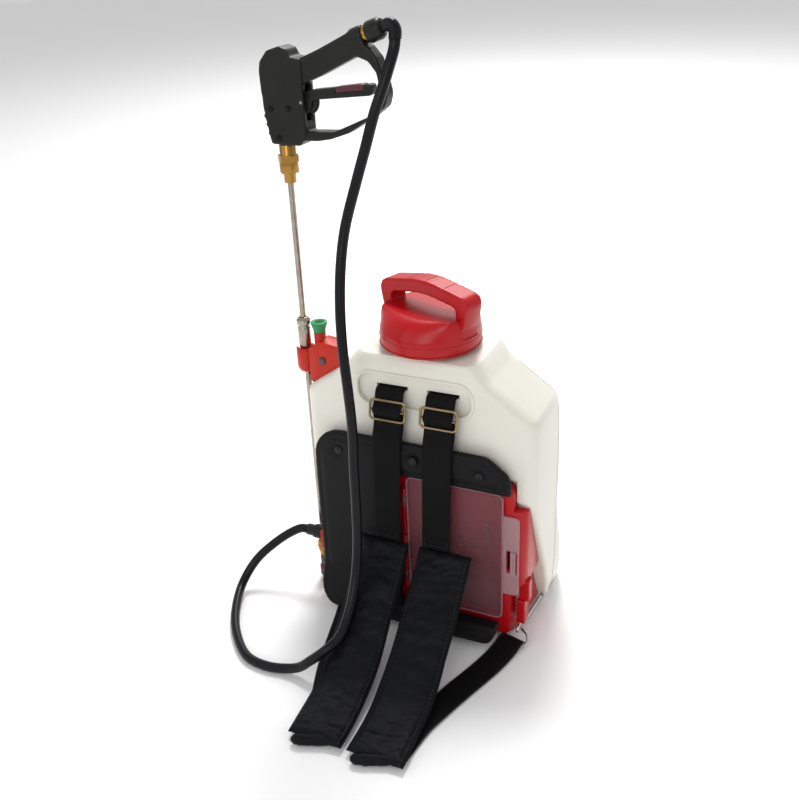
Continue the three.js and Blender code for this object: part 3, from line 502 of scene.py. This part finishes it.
def stitches(name, rows, mat, pitch=5.5, length=3.2, radius=0.42):
    """Thread dashes along lines of (point, normal), lying just proud of the cloth."""
    pieces = []
    for row in rows:
        travelled, wanted = 0.0, 0.0
        for (a, na), (b, _) in zip(row, row[1:]):
            step = (b - a).length
            while wanted < travelled + step:
                f = (wanted - travelled) / max(step, 1e-9)
                at, along = a.lerp(b, f), (b - a).normalized()
                up = (na - along * na.dot(along)).normalized()
                half = length / 2 * MM
                dash = [at + along * (half * k) + up * (radius * MM * 0.35 * (1 - k * k))
                        for k in (-1, -0.5, 0, 0.5, 1)]
                pieces.append(tube(name, dash, [radius * MM * r for r in (0.3, 0.9, 1, 0.9, 0.3)],
                                   mat, 6))
                wanted += pitch * MM
            travelled += step
    return join(name, pieces)


# -------------------------------------------------------------------- the hose
HOSE_ROUTE = [
    (-22, -49.6, 774.6), (-22.6, -51.5, 767), (-25.5, -60, 749), (-32, -69.5, 723),
    (-40, -75, 699), (-51, -80, 661), (-61, -86, 626), (-76, -96, 568), (-79, -108, 522),
    (-78, -118, 474), (-74, -126, 425), (-67, -133, 375), (-62, -138, 322), (-61, -143, 266),
    (-58, -150, 210), (-55, -160, 158), (-53, -178, 113), (-52, -204, 80), (-55, -229, 60),
    (-67, -246, 49), (-85.5, -253, 32.5), (-103, -255, 17), (-124, -257, 9.4), (-151, -260, 7),
    (-185, -254, 7), (-224, -221, 7.5), (-253, -179, 10), (-271, -130, 19), (-260, -103, 46),
    (-232, -82, 74), (-209, -71, 90), (-197, -68.4, 95.8), (-187.4, -68, 97)]
HOSE_R = 6.5 * MM

hose_path = smooth_path([Vector(p) * MM for p in HOSE_ROUTE], 7)
hose_path[0] = Vector((-21.9, -49.2, 777.6)) * MM  # seated inside the elbow
hose = tube("hose_line", hose_path, HOSE_R, MAT["black_rubber"], 20)
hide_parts("hose")
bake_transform(hose)


# ------------------------------------------------------------- shoulder pads
PAD_LINE = [(-108, 143), (-124, 126.5), (-140, 112), (-172, 84), (-206, 56), (-238, 33),
            (-268, 19), (-300, 12.8), (-330, 10.4), (-351, 9.4)]  # y and z in mm
PAD_STEPS = 13  # points from one place on the line to the next
PAD_CUTS = 38  # spans across the sleeve
PAD_THICK = 14.5
PAD_HEM = 1.3  # half thickness at the sleeve's sides, in mm
PAD_SEAM = 0.87  # where the edge stitching runs, as a share of the half width
PAD_CREASE, PAD_FINE, PAD_PUCKER, PAD_GROOVE = 2.5, 1.35, 0.5, 1.15  # reliefs, in mm
PAD_CLOSING = 9  # length over which each end closes, in mm
PAD_LEAST = 0.6  # half thickness where an end has closed, in mm
BINDING_R = 1.5 * MM
ROLL_LENGTH = 52 * MM
ROLL_R = 7.6 * MM
ROLL_POINTS = 15


def pad_rows(line, x_top, x_end, twist):
    """Centre, across and up at each point of a pad's line, turning towards its end."""
    y0, y1 = line[0].y, line[-1].y
    rows = []
    for i, p in enumerate(line):
        t = min(1.0, max(0.0, (p.y - y0) / (y1 - y0)))
        centre = Vector(((x_top + (x_end - x_top) * t ** 0.8) * MM, p.y, p.z))
        lean = math.radians(twist * t)
        along = (line[min(i + 1, len(line) - 1)] - line[max(i - 1, 0)]).normalized()
        across = Vector((math.cos(lean), math.sin(lean), 0))
        across = (across - along * across.dot(along)).normalized()
        up = across.cross(along).normalized()
        rows.append((centre, across, -up if up.z < 0 else up))
    return rows


def pad_height(u, face, run, seed):
    """Half thickness in mm at u across (-1 to 1) and run along, above or below (face 1 or -1)."""
    m = abs(u)
    fold = run / MM + 9 * noise.noise(Vector((u * 1.1 + seed, run * 14, 3.1)))
    crease = noise.noise(Vector((u * 0.8 + seed, fold * 0.055, seed)))
    fine = noise.noise(Vector((u * 3.2 + seed, fold * 0.15 + u * 1.2, 7 + seed)))
    pucker = noise.noise(Vector((u * 2, run / MM * 0.42, seed + 11)))
    inner = 1 - m ** 6
    h = PAD_HEM + (PAD_THICK / 2 - PAD_HEM) * (1 - m ** 3.4) ** 0.62
    h += (PAD_CREASE * crease + PAD_FINE * fine) * inner * (1 if face > 0 else 0.35)
    h += PAD_PUCKER * pucker * math.exp(-(((m - PAD_SEAM) / 0.12) ** 2))
    return h - PAD_GROOVE * math.exp(-(((m - PAD_SEAM) / 0.035) ** 2))


def pad_end_roll(side, x_end, y_end, twist, seed):
    """The turned-under end of the sleeve, a soft roll lying against the pad's end."""
    middle = Vector(((x_end - 3) * MM, y_end - 0.5 * MM, 8.5 * MM))
    lean = math.radians(twist + 7)
    across = Vector((math.cos(lean), math.sin(lean), 0))
    path, radii = [], []
    for k in range(ROLL_POINTS):
        f = k / (ROLL_POINTS - 1) - 0.5
        uneven = 0.9 * MM * noise.noise(Vector((k * 0.5, seed, 2)))
        path.append(middle + across * f * ROLL_LENGTH)
        radii.append((ROLL_R + uneven) * math.sqrt(max(0.12, 1 - abs(2 * f) ** 6)))
    roll = tube(f"pad_end_roll_{side}", path, radii, MAT["satin"], 18)
    final(roll, "frame", "strap_fabric")


def shoulder_pad(side, x_top, x_end, width, twist, seed):
    """A satin sleeve over foam: crowned, stitched along both edges and creased across."""
    line = smooth_path([Vector((0, y, z)) * MM for y, z in PAD_LINE], PAD_STEPS)
    total = length_of(line)
    profile = [(-1 + 2 * k / PAD_CUTS, 1) for k in range(PAD_CUTS + 1)]
    profile += [(1 - 2 * k / PAD_CUTS, -1) for k in range(1, PAD_CUTS)]
    verts, faces, seams, edges = [], [], ([], []), ([], [])
    run = 0.0
    for i, (centre, across, up) in enumerate(pad_rows(line, x_top, x_end, twist)):
        if i:
            run += (line[i] - line[i - 1]).length
        near_end = min(run, total - run) / MM
        closing = min(1.0, 0.25 + 0.75 * math.sqrt(min(1.0, near_end / PAD_CLOSING)))
        wide = width / 2 * (1 - 0.012 * math.sin(run * 60 + seed))
        ring = []
        for u, face in profile:
            h = max(pad_height(u, face, run, seed) * closing, PAD_LEAST)
            ring.append(centre + across * (u * wide * MM) + up * (face * h * MM))
        verts += ring
        for k, s in enumerate((-1, 1)):
            index = round((s * PAD_SEAM + 1) / 2 * PAD_CUTS)
            seams[k].append((ring[index] + up * (0.2 * MM), up))
            edges[k].append(centre + across * (s * wide * MM))
    m = len(profile)
    for i in range(len(line) - 1):
        for k in range(m):
            j = (k + 1) % m
            faces.append((i * m + k, (i + 1) * m + k, (i + 1) * m + j, i * m + j))
    faces.append(tuple(range(m)))
    faces.append(tuple(reversed([(len(line) - 1) * m + k for k in range(m)])))
    pad = mesh_object(f"padded_strap_{side}", verts, faces, MAT["satin"])
    final(pad, "frame", "strap_fabric", f"shoulder_pad_{side}")
    trim = [tube("binding", edge, BINDING_R, MAT["strap_fabric"], 8) for edge in edges]
    final(join(f"pad_binding_{side}", trim), "frame", "strap_fabric")
    final(stitches(f"pad_stitching_{side}", seams, MAT["stitch"]), "frame", "strap_fabric")
    pad_end_roll(side, x_end, line[-1].y, twist, seed)


shoulder_pad("left", x_top=-40, x_end=-28, width=70, twist=13, seed=1.7)
shoulder_pad("right", x_top=49, x_end=53, width=71, twist=13, seed=6.3)


# ------------------------------------------------- webbing through the buckles
STRAP_X = 35.5
STRAP_WIDTH, STRAP_THICK = 40 * MM, 2.3 * MM
TAIL_WIDTH, TAIL_THICK = 39.5 * MM, 2.0 * MM
THREADED = [(-60, 356.2), (-70, 355.8), (-77, 355.2), (-80.6, 352), (-82.6, 347), (-84.6, 342.5),
            (-88.4, 337.6), (-92.6, 333), (-93.9, 329.4), (-92.2, 325), (-89.9, 320.4),
            (-89.6, 315), (-92, 306), (-97, 296), (-99.6, 284), (-102, 250), (-106, 200),
            (-108.5, 162), (-109.5, 139)]  # y and z in mm
HANGS_FROM = 13  # the place in THREADED below which the strap hangs free
TAIL = [(-91.6, 333), (-89.4, 330), (-87.8, 324.5), (-87.4, 317), (-89.4, 307), (-93, 299),
        (-95.4, 292), (-96.6, 284)]
SEWN = [(-110.9, 142), (-110.6, 150), (-110, 162)]  # the side seams on the pad's top


def threaded_strap(side, x):
    """Webbing through the buckle, its loose tail, and a sewn box where it meets the pad."""
    stations = []
    for i, (y, z) in enumerate(THREADED):
        aside = 0.5 if i >= HANGS_FROM else 0
        stations.append(((x + aside) * MM, y * MM, z * MM))
    strap, _ = strip(f"strap_{side}", stations, STRAP_WIDTH, STRAP_THICK, MAT["strap_fabric"],
                     wrinkle=0.2 * MM, seed=x)
    final(strap, "frame", "strap_fabric", f"upper_webbing_{side}")
    tail, _ = strip(f"strap_tail_{side}", [((x + 2) * MM, y * MM, z * MM) for y, z in TAIL],
                    TAIL_WIDTH, TAIL_THICK, MAT["strap_fabric"], seed=x + 3)
    final(tail, "frame", "strap_fabric")
    outward = Vector((0, -1, 0))
    rows = [[(Vector((x + dx, y, z)) * MM, outward) for y, z in SEWN] for dx in (-15.5, 15.5)]
    rows.append([(Vector((x + dx, -110.2, 150)) * MM, outward) for dx in (-15, 0, 15)])
    sewing = stitches(f"strap_stitching_{side}", rows, MAT["stitch"], pitch=4.5, length=3)
    final(sewing, "frame", "strap_fabric")


def buckle(side, x):
    """A pressed frame with round corners and a middle bar, lying aslant on the strap."""
    bar_end = Vector((24.5, 0, 0)) * MM
    outer = tube("frame", rounded_rect(cx=0, cz=0, w=49.5, h=26, r=5, y=0), 1.75 * MM,
                 MAT["bronze_steel"], 12, close=True)
    bar = tube("bar", [-bar_end, bar_end], 1.5 * MM, MAT["bronze_steel"], 12)
    whole = join(f"strap_buckle_{side}", [outer, bar])
    whole.data.transform(Matrix.Translation(Vector((x, -89.6, 330)) * MM)
                         @ Matrix.Rotation(math.radians(-12), 4, "X"))
    final(whole, "frame", "bronze_steel", f"buckle_{side}")


for side, x in (("left", -STRAP_X), ("right", STRAP_X)):
    threaded_strap(side, x)
    buckle(side, x)


# ------------------------------------------------------------- lower webbing
LOWER = {
    "right": [(70, -332, 3), (72, -317, 3), (78, -277, 2.8), (87, -247, 2.6), (100, -208, 2.6),
              (121, -149, 2.8), (129, -121, 3.4), (133, -105, 5.6), (135.5, -95.5, 9),
              (136.8, -90.6, 9.4), (137.6, -87.2, 9), (138.3, -84.4, 6.6)],
    "left": [(-36, -335, 3), (-45, -300, 2.8), (-72, -227, 2.6), (-98, -130, 2.6),
             (-103, -112, 2.6), (-106, -100, 4.2), (-107.6, -95, 6.4), (-108.7, -90.8, 6.6),
             (-109.5, -87.2, 6.2), (-110.3, -84.4, 4.2)]}
LOWER_WIDTH, LOWER_THICK = 36 * MM, 2.0 * MM
HEM_FROM, HEM_TO = -135 * MM, -88 * MM  # the doubled stretch near the ring, along Y
HEM_SEAM_X = 13.5 * MM  # the hem's stitching, from the strap's middle
EDGE_GLINT_X = 17.6 * MM  # the woven edge, whose pale line is a painted highlight, from the strap's middle
EDGE_GLINT_R = 0.75 * MM


def lower_strap(side, seed):
    """Flat webbing on the ground from the pad's end to its ring, hemmed where it turns."""
    pts = [Vector(p) * MM for p in LOWER[side]]
    stations = []
    for i, p in enumerate(pts):
        a, b = pts[max(i - 1, 0)], pts[min(i + 1, len(pts) - 1)]
        heading = math.degrees(math.atan2(b.y - a.y, b.x - a.x)) - 90
        stations.append((p.x, p.y, p.z, heading))
    strap, rows = strip(f"low_strap_{side}", stations, LOWER_WIDTH, LOWER_THICK,
                        MAT["floor_strap"], wrinkle=0.7 * MM, seed=seed)
    final(strap, "frame", "strap_fabric", f"lower_webbing_{side}")
    hem = [r for r in rows if HEM_FROM < r[0].y < HEM_TO][::2]
    lines, glint_lines = [], []
    for s in (-1, 1):
        lines.append([(p + a * (s * HEM_SEAM_X) + n * (1.1 * MM * (1 if n.z > 0 else -1)), n)
                      for p, a, n in hem])
        # the pale lines along both woven edges are painted highlights, light glinting off the
        # edges put in as colour
        glint_line = [p + a * (s * EDGE_GLINT_X) + Vector((0, 0, 0.2 * MM)) for p, a, _ in rows]
        glint_lines.append(tube("edge", glint_line, EDGE_GLINT_R, MAT["edge_glint_paint"], 6))
    final(join(f"low_strap_edge_glints_{side}", glint_lines), "frame", "strap_fabric")
    sewing = stitches(f"low_stitching_{side}", lines, MAT["stitch"], pitch=4.2, length=2.8)
    final(sewing, "frame", "strap_fabric")


lower_strap("left", 2.0)
lower_strap("right", 5.0)


# ------------------------------------------------------------------ back pad
FRONT_FACING = 0.45  # how squarely a face looks forward to count as the cushion's front
RIVETS = [(-109, 261), (0, 265), (92, 261)]  # x and z in mm
CUSHION_SWELL, SWELL_REACH = 3.2, 10  # the rise in mm, and the distance in mm it takes
BORDER_GROOVE, GROOVE_AT, GROOVE_HALF = 1.5, 8, 2.2  # a groove in mm, inside the border
RIVET_DIMPLE, DIMPLE_REACH = 3.6, 9


def back_cushion():
    """The moulded back pad, swelling from a pressed border, dimpled at its rivets."""
    pad = refined("back_pad", voxel=2.6, relax=3)
    mesh = pad.data
    mesh.materials.append(MAT["pad_foam"])
    rim = [v.co for v in mesh.vertices if abs(v.normal.y) < FRONT_FACING]
    tree = KDTree(len(rim))
    for i, co in enumerate(rim):
        tree.insert((co.x, 0, co.z), i)
    tree.balance()
    rivets = [Vector(place) * MM for place in RIVETS]
    moves = []
    for v in mesh.vertices:
        push = 0.0
        if v.normal.y < -FRONT_FACING:
            inside = tree.find((v.co.x, 0, v.co.z))[2] / MM
            near = min((Vector((v.co.x, v.co.z)) - r).length for r in rivets) / MM
            push = CUSHION_SWELL * (1 - math.exp(-inside / SWELL_REACH))
            push -= BORDER_GROOVE * math.exp(-(((inside - GROOVE_AT) / GROOVE_HALF) ** 2))
            push -= RIVET_DIMPLE * math.exp(-((near / DIMPLE_REACH) ** 2))
            push += 0.5 * noise.noise(v.co * 26)
        moves.append(v.normal * (push * MM))
    for v, move in zip(mesh.vertices, moves):
        v.co += move
    final(pad, "frame", "strap_fabric", "back_pad")


back_cushion()


# ----------------------------------------------------------------- filler lid
LID_TURN = math.radians(-18)  # the way the handle points
LID_ALONG = Vector((math.cos(LID_TURN), math.sin(LID_TURN), 0))
LID_SIDE = Vector((-math.sin(LID_TURN), math.cos(LID_TURN), 0))
LID_CENTRE = Vector((-2, -18, 0)) * MM
LID_SKIRT_R, LID_PLATEAU_R = 66.3, 62.0
LID_TOP = 451.0  # height of the plateau that carries the handle, in mm
LID_FALL = 25  # how far the shoulder falls from the plateau to the skirt, in mm
LID_CHORD = 31.0  # half the plateau's depth, across the handle, in mm
SHOULDER_FROM, SHOULDER_TO = 425, 453.5  # the heights that the shoulder lies between, in mm
SHOULDER_FACING = 0.15  # how squarely a face looks up to count as the shoulder
ARMS_FROM = 426  # what lies outside the skirt above this height is the handle's arms
ARMS_OUT, ARMS_OUT_FROM, ARMS_OUT_OVER = 8, 438, 34  # how far, from where and over what, in mm
LID_RIDGES = ((408, 66.5), (420, 66.3))  # height and radius in mm
LID_RIDGE_POINTS = 96
HANDLE_SEAMS = (-26, 4, 34)  # places along the handle, in mm
HANDLE_ABOVE = 520  # a height above the handle, in mm


def shape_lid(mesh):
    """Leans the handle's arms in, and cuts the plateau straight before and behind it."""
    for v in mesh.vertices:
        q = v.co - LID_CENTRE
        b, r, z = abs(q.dot(LID_SIDE)) / MM, q.to_2d().length / MM, v.co.z / MM
        if r > LID_SKIRT_R and z > ARMS_FROM:
            f = min(1.0, max(0.0, (z - ARMS_OUT_FROM) / ARMS_OUT_OVER))
            limit = LID_SKIRT_R + 0.4 + ARMS_OUT * f ** 0.8
            if r > limit:
                v.co.x = LID_CENTRE.x + q.x * limit / r
                v.co.y = LID_CENTRE.y + q.y * limit / r
        elif SHOULDER_FROM < z < SHOULDER_TO and v.normal.z > SHOULDER_FACING:
            inner = min(LID_PLATEAU_R, LID_CHORD * r / max(b, 1e-6))
            t = min(1.0, max(0.0, (r - inner) / max(LID_SKIRT_R - inner, 1e-6)))
            v.co.z = (LID_TOP - LID_FALL * t ** 3.2) * MM


def screw_lid():
    """The lid, two ridges round its skirt and three fine seams across its handle."""
    lid = refined("lid", voxel=1.8, relax=2)
    lid.data.materials.append(MAT["red_plastic"])
    shape_lid(lid.data)
    final(relaxed(lid, 2), "lid", "red_plastic", "lid")
    rings = []
    for z, r in LID_RIDGES:
        turns = [2 * math.pi * k / LID_RIDGE_POINTS for k in range(LID_RIDGE_POINTS)]
        ring = [LID_CENTRE + Vector((r * math.cos(a), r * math.sin(a), z)) * MM for a in turns]
        rings.append(tube("ring", ring, 0.55 * MM, MAT["red_plastic"], 8, close=True))
    final(join("lid_ridges", rings), "lid", "red_plastic")
    seams = []
    for place in HANDLE_SEAMS:
        line = []
        for across in range(-12, 13, 2):
            above = LID_CENTRE + (LID_ALONG * place + LID_SIDE * across) * MM
            above.z = HANDLE_ABOVE * MM
            hit, at, _, _ = lid.ray_cast(above, Vector((0, 0, -1)))
            if hit:
                line.append(at)
        seams.append(tube("seam", line, 0.45 * MM, MAT["red_plastic"], 6))
    final(join("handle_seams", seams), "lid", "red_plastic")


screw_lid()


# -------------------------------------------------------------- small details
def baked_join(name, pieces):
    """One object out of several whose modifiers are turned into mesh first."""
    return join(name, [bake(piece) for piece in pieces])


def door_details():
    """A thicker pale rim on the door, with the battery's grip and a rib seen through it."""
    outline = rounded_rect(cx=54, cz=137, w=134.5, h=196.5, r=9, y=-88.5)
    rim = tube("door_rim", outline, 1.1 * MM, MAT["door_edge"], 8, close=True)
    final(rim, "door", "clear_door")
    bars = (((52, -72, 131), (96, -62, 142)), ((88, -72, 138), (99, -62, 173)),
            ((56, -70, 94), (66, -64, 133)), ((86, -70, 94), (96, -64, 133)))
    grip = [block("grip", lo, hi, MAT["dark_grip"], ease=2) for lo, hi in bars]
    final(baked_join("battery_grip", grip), "frame", "black_plastic")
    rib = block("bay_rib", (56, -83.4, 185.2), (78, -81.6, 187), MAT["wire"], ease=0.5)
    final(rib, "frame", "grey_plastic")


def recess_rim():
    """A raised soft rim round the tank's strap recess."""
    outline = rounded_rect(cx=-4, cz=352, w=161, h=47, r=20, y=-75.4, steps=10)
    rim = tube("recess_rim", outline, 2.0 * MM, MAT["tank_plastic"], 12, close=True)
    final(rim, "frame", "tank_plastic")


WIRE_R = 2.0 * MM
RING_BOW = ((19, 0), (20.6, 8), (16, 16.5), (6, 21.5), (-6, 21.5), (-16, 16.5), (-20.6, 8),
            (-19, 0))
HOOK_LINE = ((146.5, 30, 17), (146.5, 27.5, 10.5), (146.5, 22, 9.5), (146, 8, 9.5),
             (143, -30, 9.8), (141.5, -52, 11), (140.8, -62, 15), (140.6, -69, 19.6),
             (140.6, -75.5, 18), (140.6, -77.4, 13.5), (140.6, -73.5, 10.2))


def right_ring_and_hook():
    """The right ring, its bow lifted by the hook that comes from the tank's eyelet."""
    bow = smooth_path([Vector((u, v, 0)) * MM for u, v in RING_BOW], 4)
    ring = tube("harness_ring_right", bow, WIRE_R, MAT["wire"], 12, close=True)
    ring.data.transform(Matrix.Translation(Vector((136.5, -91, 5.2)) * MM)
                        @ Matrix.Rotation(math.radians(-12), 4, "Z")
                        @ Matrix.Rotation(math.radians(28), 4, "X"))
    final(ring, "frame", "steel", "strap_ring_right")
    hook = smooth_path([Vector(p) * MM for p in HOOK_LINE], 5)
    final(tube("harness_hook_right", hook, WIRE_R, MAT["wire"], 12), "frame", "steel",
          "strap_hook_right")


TANK_HEART = Vector((-3, 30, 235)) * MM
NECK_CENTRE = Vector((-2, -18, 400)) * MM
NECK_REACH = 78 * MM  # the ridge stops this far from the neck
RIDGE_STARTS = (-82, 128)  # where each half of the ridge starts, in degrees from +X
RIDGE_STEPS, RIDGE_STEP = 68, 2
GROUND_CLEAR = 12 * MM


def parting_ridge():
    """The blow-moulding's parting ridge, over both shoulders and down the tank's sides."""
    ridges = []
    for start in RIDGE_STARTS:
        line = []
        for k in range(RIDGE_STEPS):
            a = math.radians(start + RIDGE_STEP * k)
            out = Vector((math.cos(a), 0, math.sin(a)))
            hit, at, _, _ = NODES["tank_shell"].ray_cast(TANK_HEART + out * 0.5, -out)
            if hit and at.z > GROUND_CLEAR and (at - NECK_CENTRE).length > NECK_REACH:
                line.append(at + out * (0.1 * MM))
        ridges.append(tube("ridge", line, 0.9 * MM, MAT["tank_plastic"], 8))
    final(join("parting_ridge", ridges), "frame", "tank_plastic")


def corner_gusset():
    """The moulded gusset on the base's right corner."""
    parts = [block("gusset", (141, -76, 66), (155.5, -62, 100), MAT["red_plastic"], ease=2),
             block("gusset", (139, -80, 30), (151, -60, 68), MAT["red_plastic"], ease=2)]
    final(baked_join("corner_gusset", parts), "frame", "red_plastic")


GUN_Y = -47  # the middle plane of the gun and lance, in mm
GUN_FACE_Y = -61.7
HEAD_RIBS = ((-192.5, 689), (-190.6, 679), (-188.7, 669))
HEAD_SCREWS = ((-184, 698), (-160, 699), (-176, 664))
FINGER_HOOK = ((-134, 716.5), (-130.2, 711), (-129.6, 703.5), (-132.6, 697.5), (-138, 694.5))


def gun_details():
    """The gun's body with rounded corners, ribs and screw heads, and the trigger's hook."""
    gun = refined("gun_body", voxel=1.35, relax=11)
    gun.data.materials.append(MAT["black_plastic"])
    final(gun, "lance", "black_plastic", "gun_body")
    ribs = [tube("rib", [Vector((x, GUN_Y + dy, z)) * MM for dy in (-12, 0, 12)], 3.2 * MM,
                 MAT["black_plastic"], 14) for x, z in HEAD_RIBS]
    final(join("head_ribs", ribs), "lance", "black_plastic")
    caps = [prism("cap", (x, GUN_FACE_Y, z), (0, -1, 0), radius=3.6, length=1.2, sides=24,
                  mat=MAT["dark_grip"]) for x, z in HEAD_SCREWS]
    final(join("head_screws", caps), "lance", "black_plastic")
    curl = smooth_path([Vector((x, GUN_Y, z)) * MM for x, z in FINGER_HOOK], 5)
    radii = [3.2 * MM, *[4.6 * MM] * (len(curl) - 2), 3.2 * MM]
    final(tube("finger_hook", curl, radii, MAT["black_plastic"], 16), "trigger", "black_plastic")


LANCE_X = -174.5
# height, radius to the corners and length in mm, and the number of sides
COLLARS = ((637, 13.4, 9, 6), (622, 12.2, 6, 6), (646.5, 9.2, 3, 24), (56, 10.0, 8, 6))


def brass_flats():
    """Spanner flats and collars on the brass nuts of the lance and the base's outlet."""
    collars = [bevelled(prism("hex", (LANCE_X, GUN_Y, z), (0, 0, 1), r, length, sides,
                              MAT["brass"]), 0.6) for z, r, length, sides in COLLARS]
    final(baked_join("lance_flats", collars), "lance", "brass")
    flats = prism("outlet_flats", (-155, -68, 97), (1, 0, 0), radius=11.5, length=6, sides=6,
                  mat=MAT["brass"])
    final(bevelled(flats, 0.6), "frame", "brass")


door_details()
recess_rim()
right_ring_and_hook()
parting_ridge()
corner_gusset()
gun_details()
brass_flats()


# ------------------------------------------------------------------ the stage
def area_light(name, at, target, size, energy):
    """A round area light facing its target."""
    data = bpy.data.lights.new(name, "AREA")
    data.shape = "DISK"
    data.size = size
    data.energy = energy
    obj = bpy.data.objects.new(name, data)
    obj.location = at
    obj.rotation_euler = (Vector(at) - Vector(target)).to_track_quat("Z", "Y").to_euler()
    bpy.context.collection.objects.link(obj)


FLOOR_HALF = 12
SKY_STRENGTH = 0.62
AIM = (0, 0, 0.3)  # a point inside the tank
LIGHTS = {  # name: (place, target, size in metres, watts)
    "key": ((-0.35, 1.0, 2.6), AIM, 0.7, 47),
    "fill": ((-1.6, -1.8, 1.4), AIM, 1.6, 5),
    "front": ((0.2, -2.6, 1.5), AIM, 1.4, 15),
    "backdrop": ((-0.8, 3.6, 3.0), (-0.8, 3.4, 0), 3.0, 95),
}


def build_stage():
    """A plain pale floor under a white sky, lit softly from above and behind."""
    s = FLOOR_HALF
    floor = mesh_object("floor", [(-s, -s, 0), (s, -s, 0), (s, s, 0), (-s, s, 0)],
                        [(0, 1, 2, 3)], material("floor_pale", (0.93, 0.93, 0.93), 0.9), False)
    world = bpy.data.worlds.new("studio")
    world.use_nodes = True
    sky = world.node_tree.nodes["Background"]
    sky.inputs["Color"].default_value = (1, 1, 1, 1)
    sky.inputs["Strength"].default_value = SKY_STRENGTH
    bpy.context.scene.world = world
    for name, (at, target, size, energy) in LIGHTS.items():
        area_light(name, at, target, size, energy)
    bpy.context.scene.view_settings.view_transform = "Standard"


build_stage()
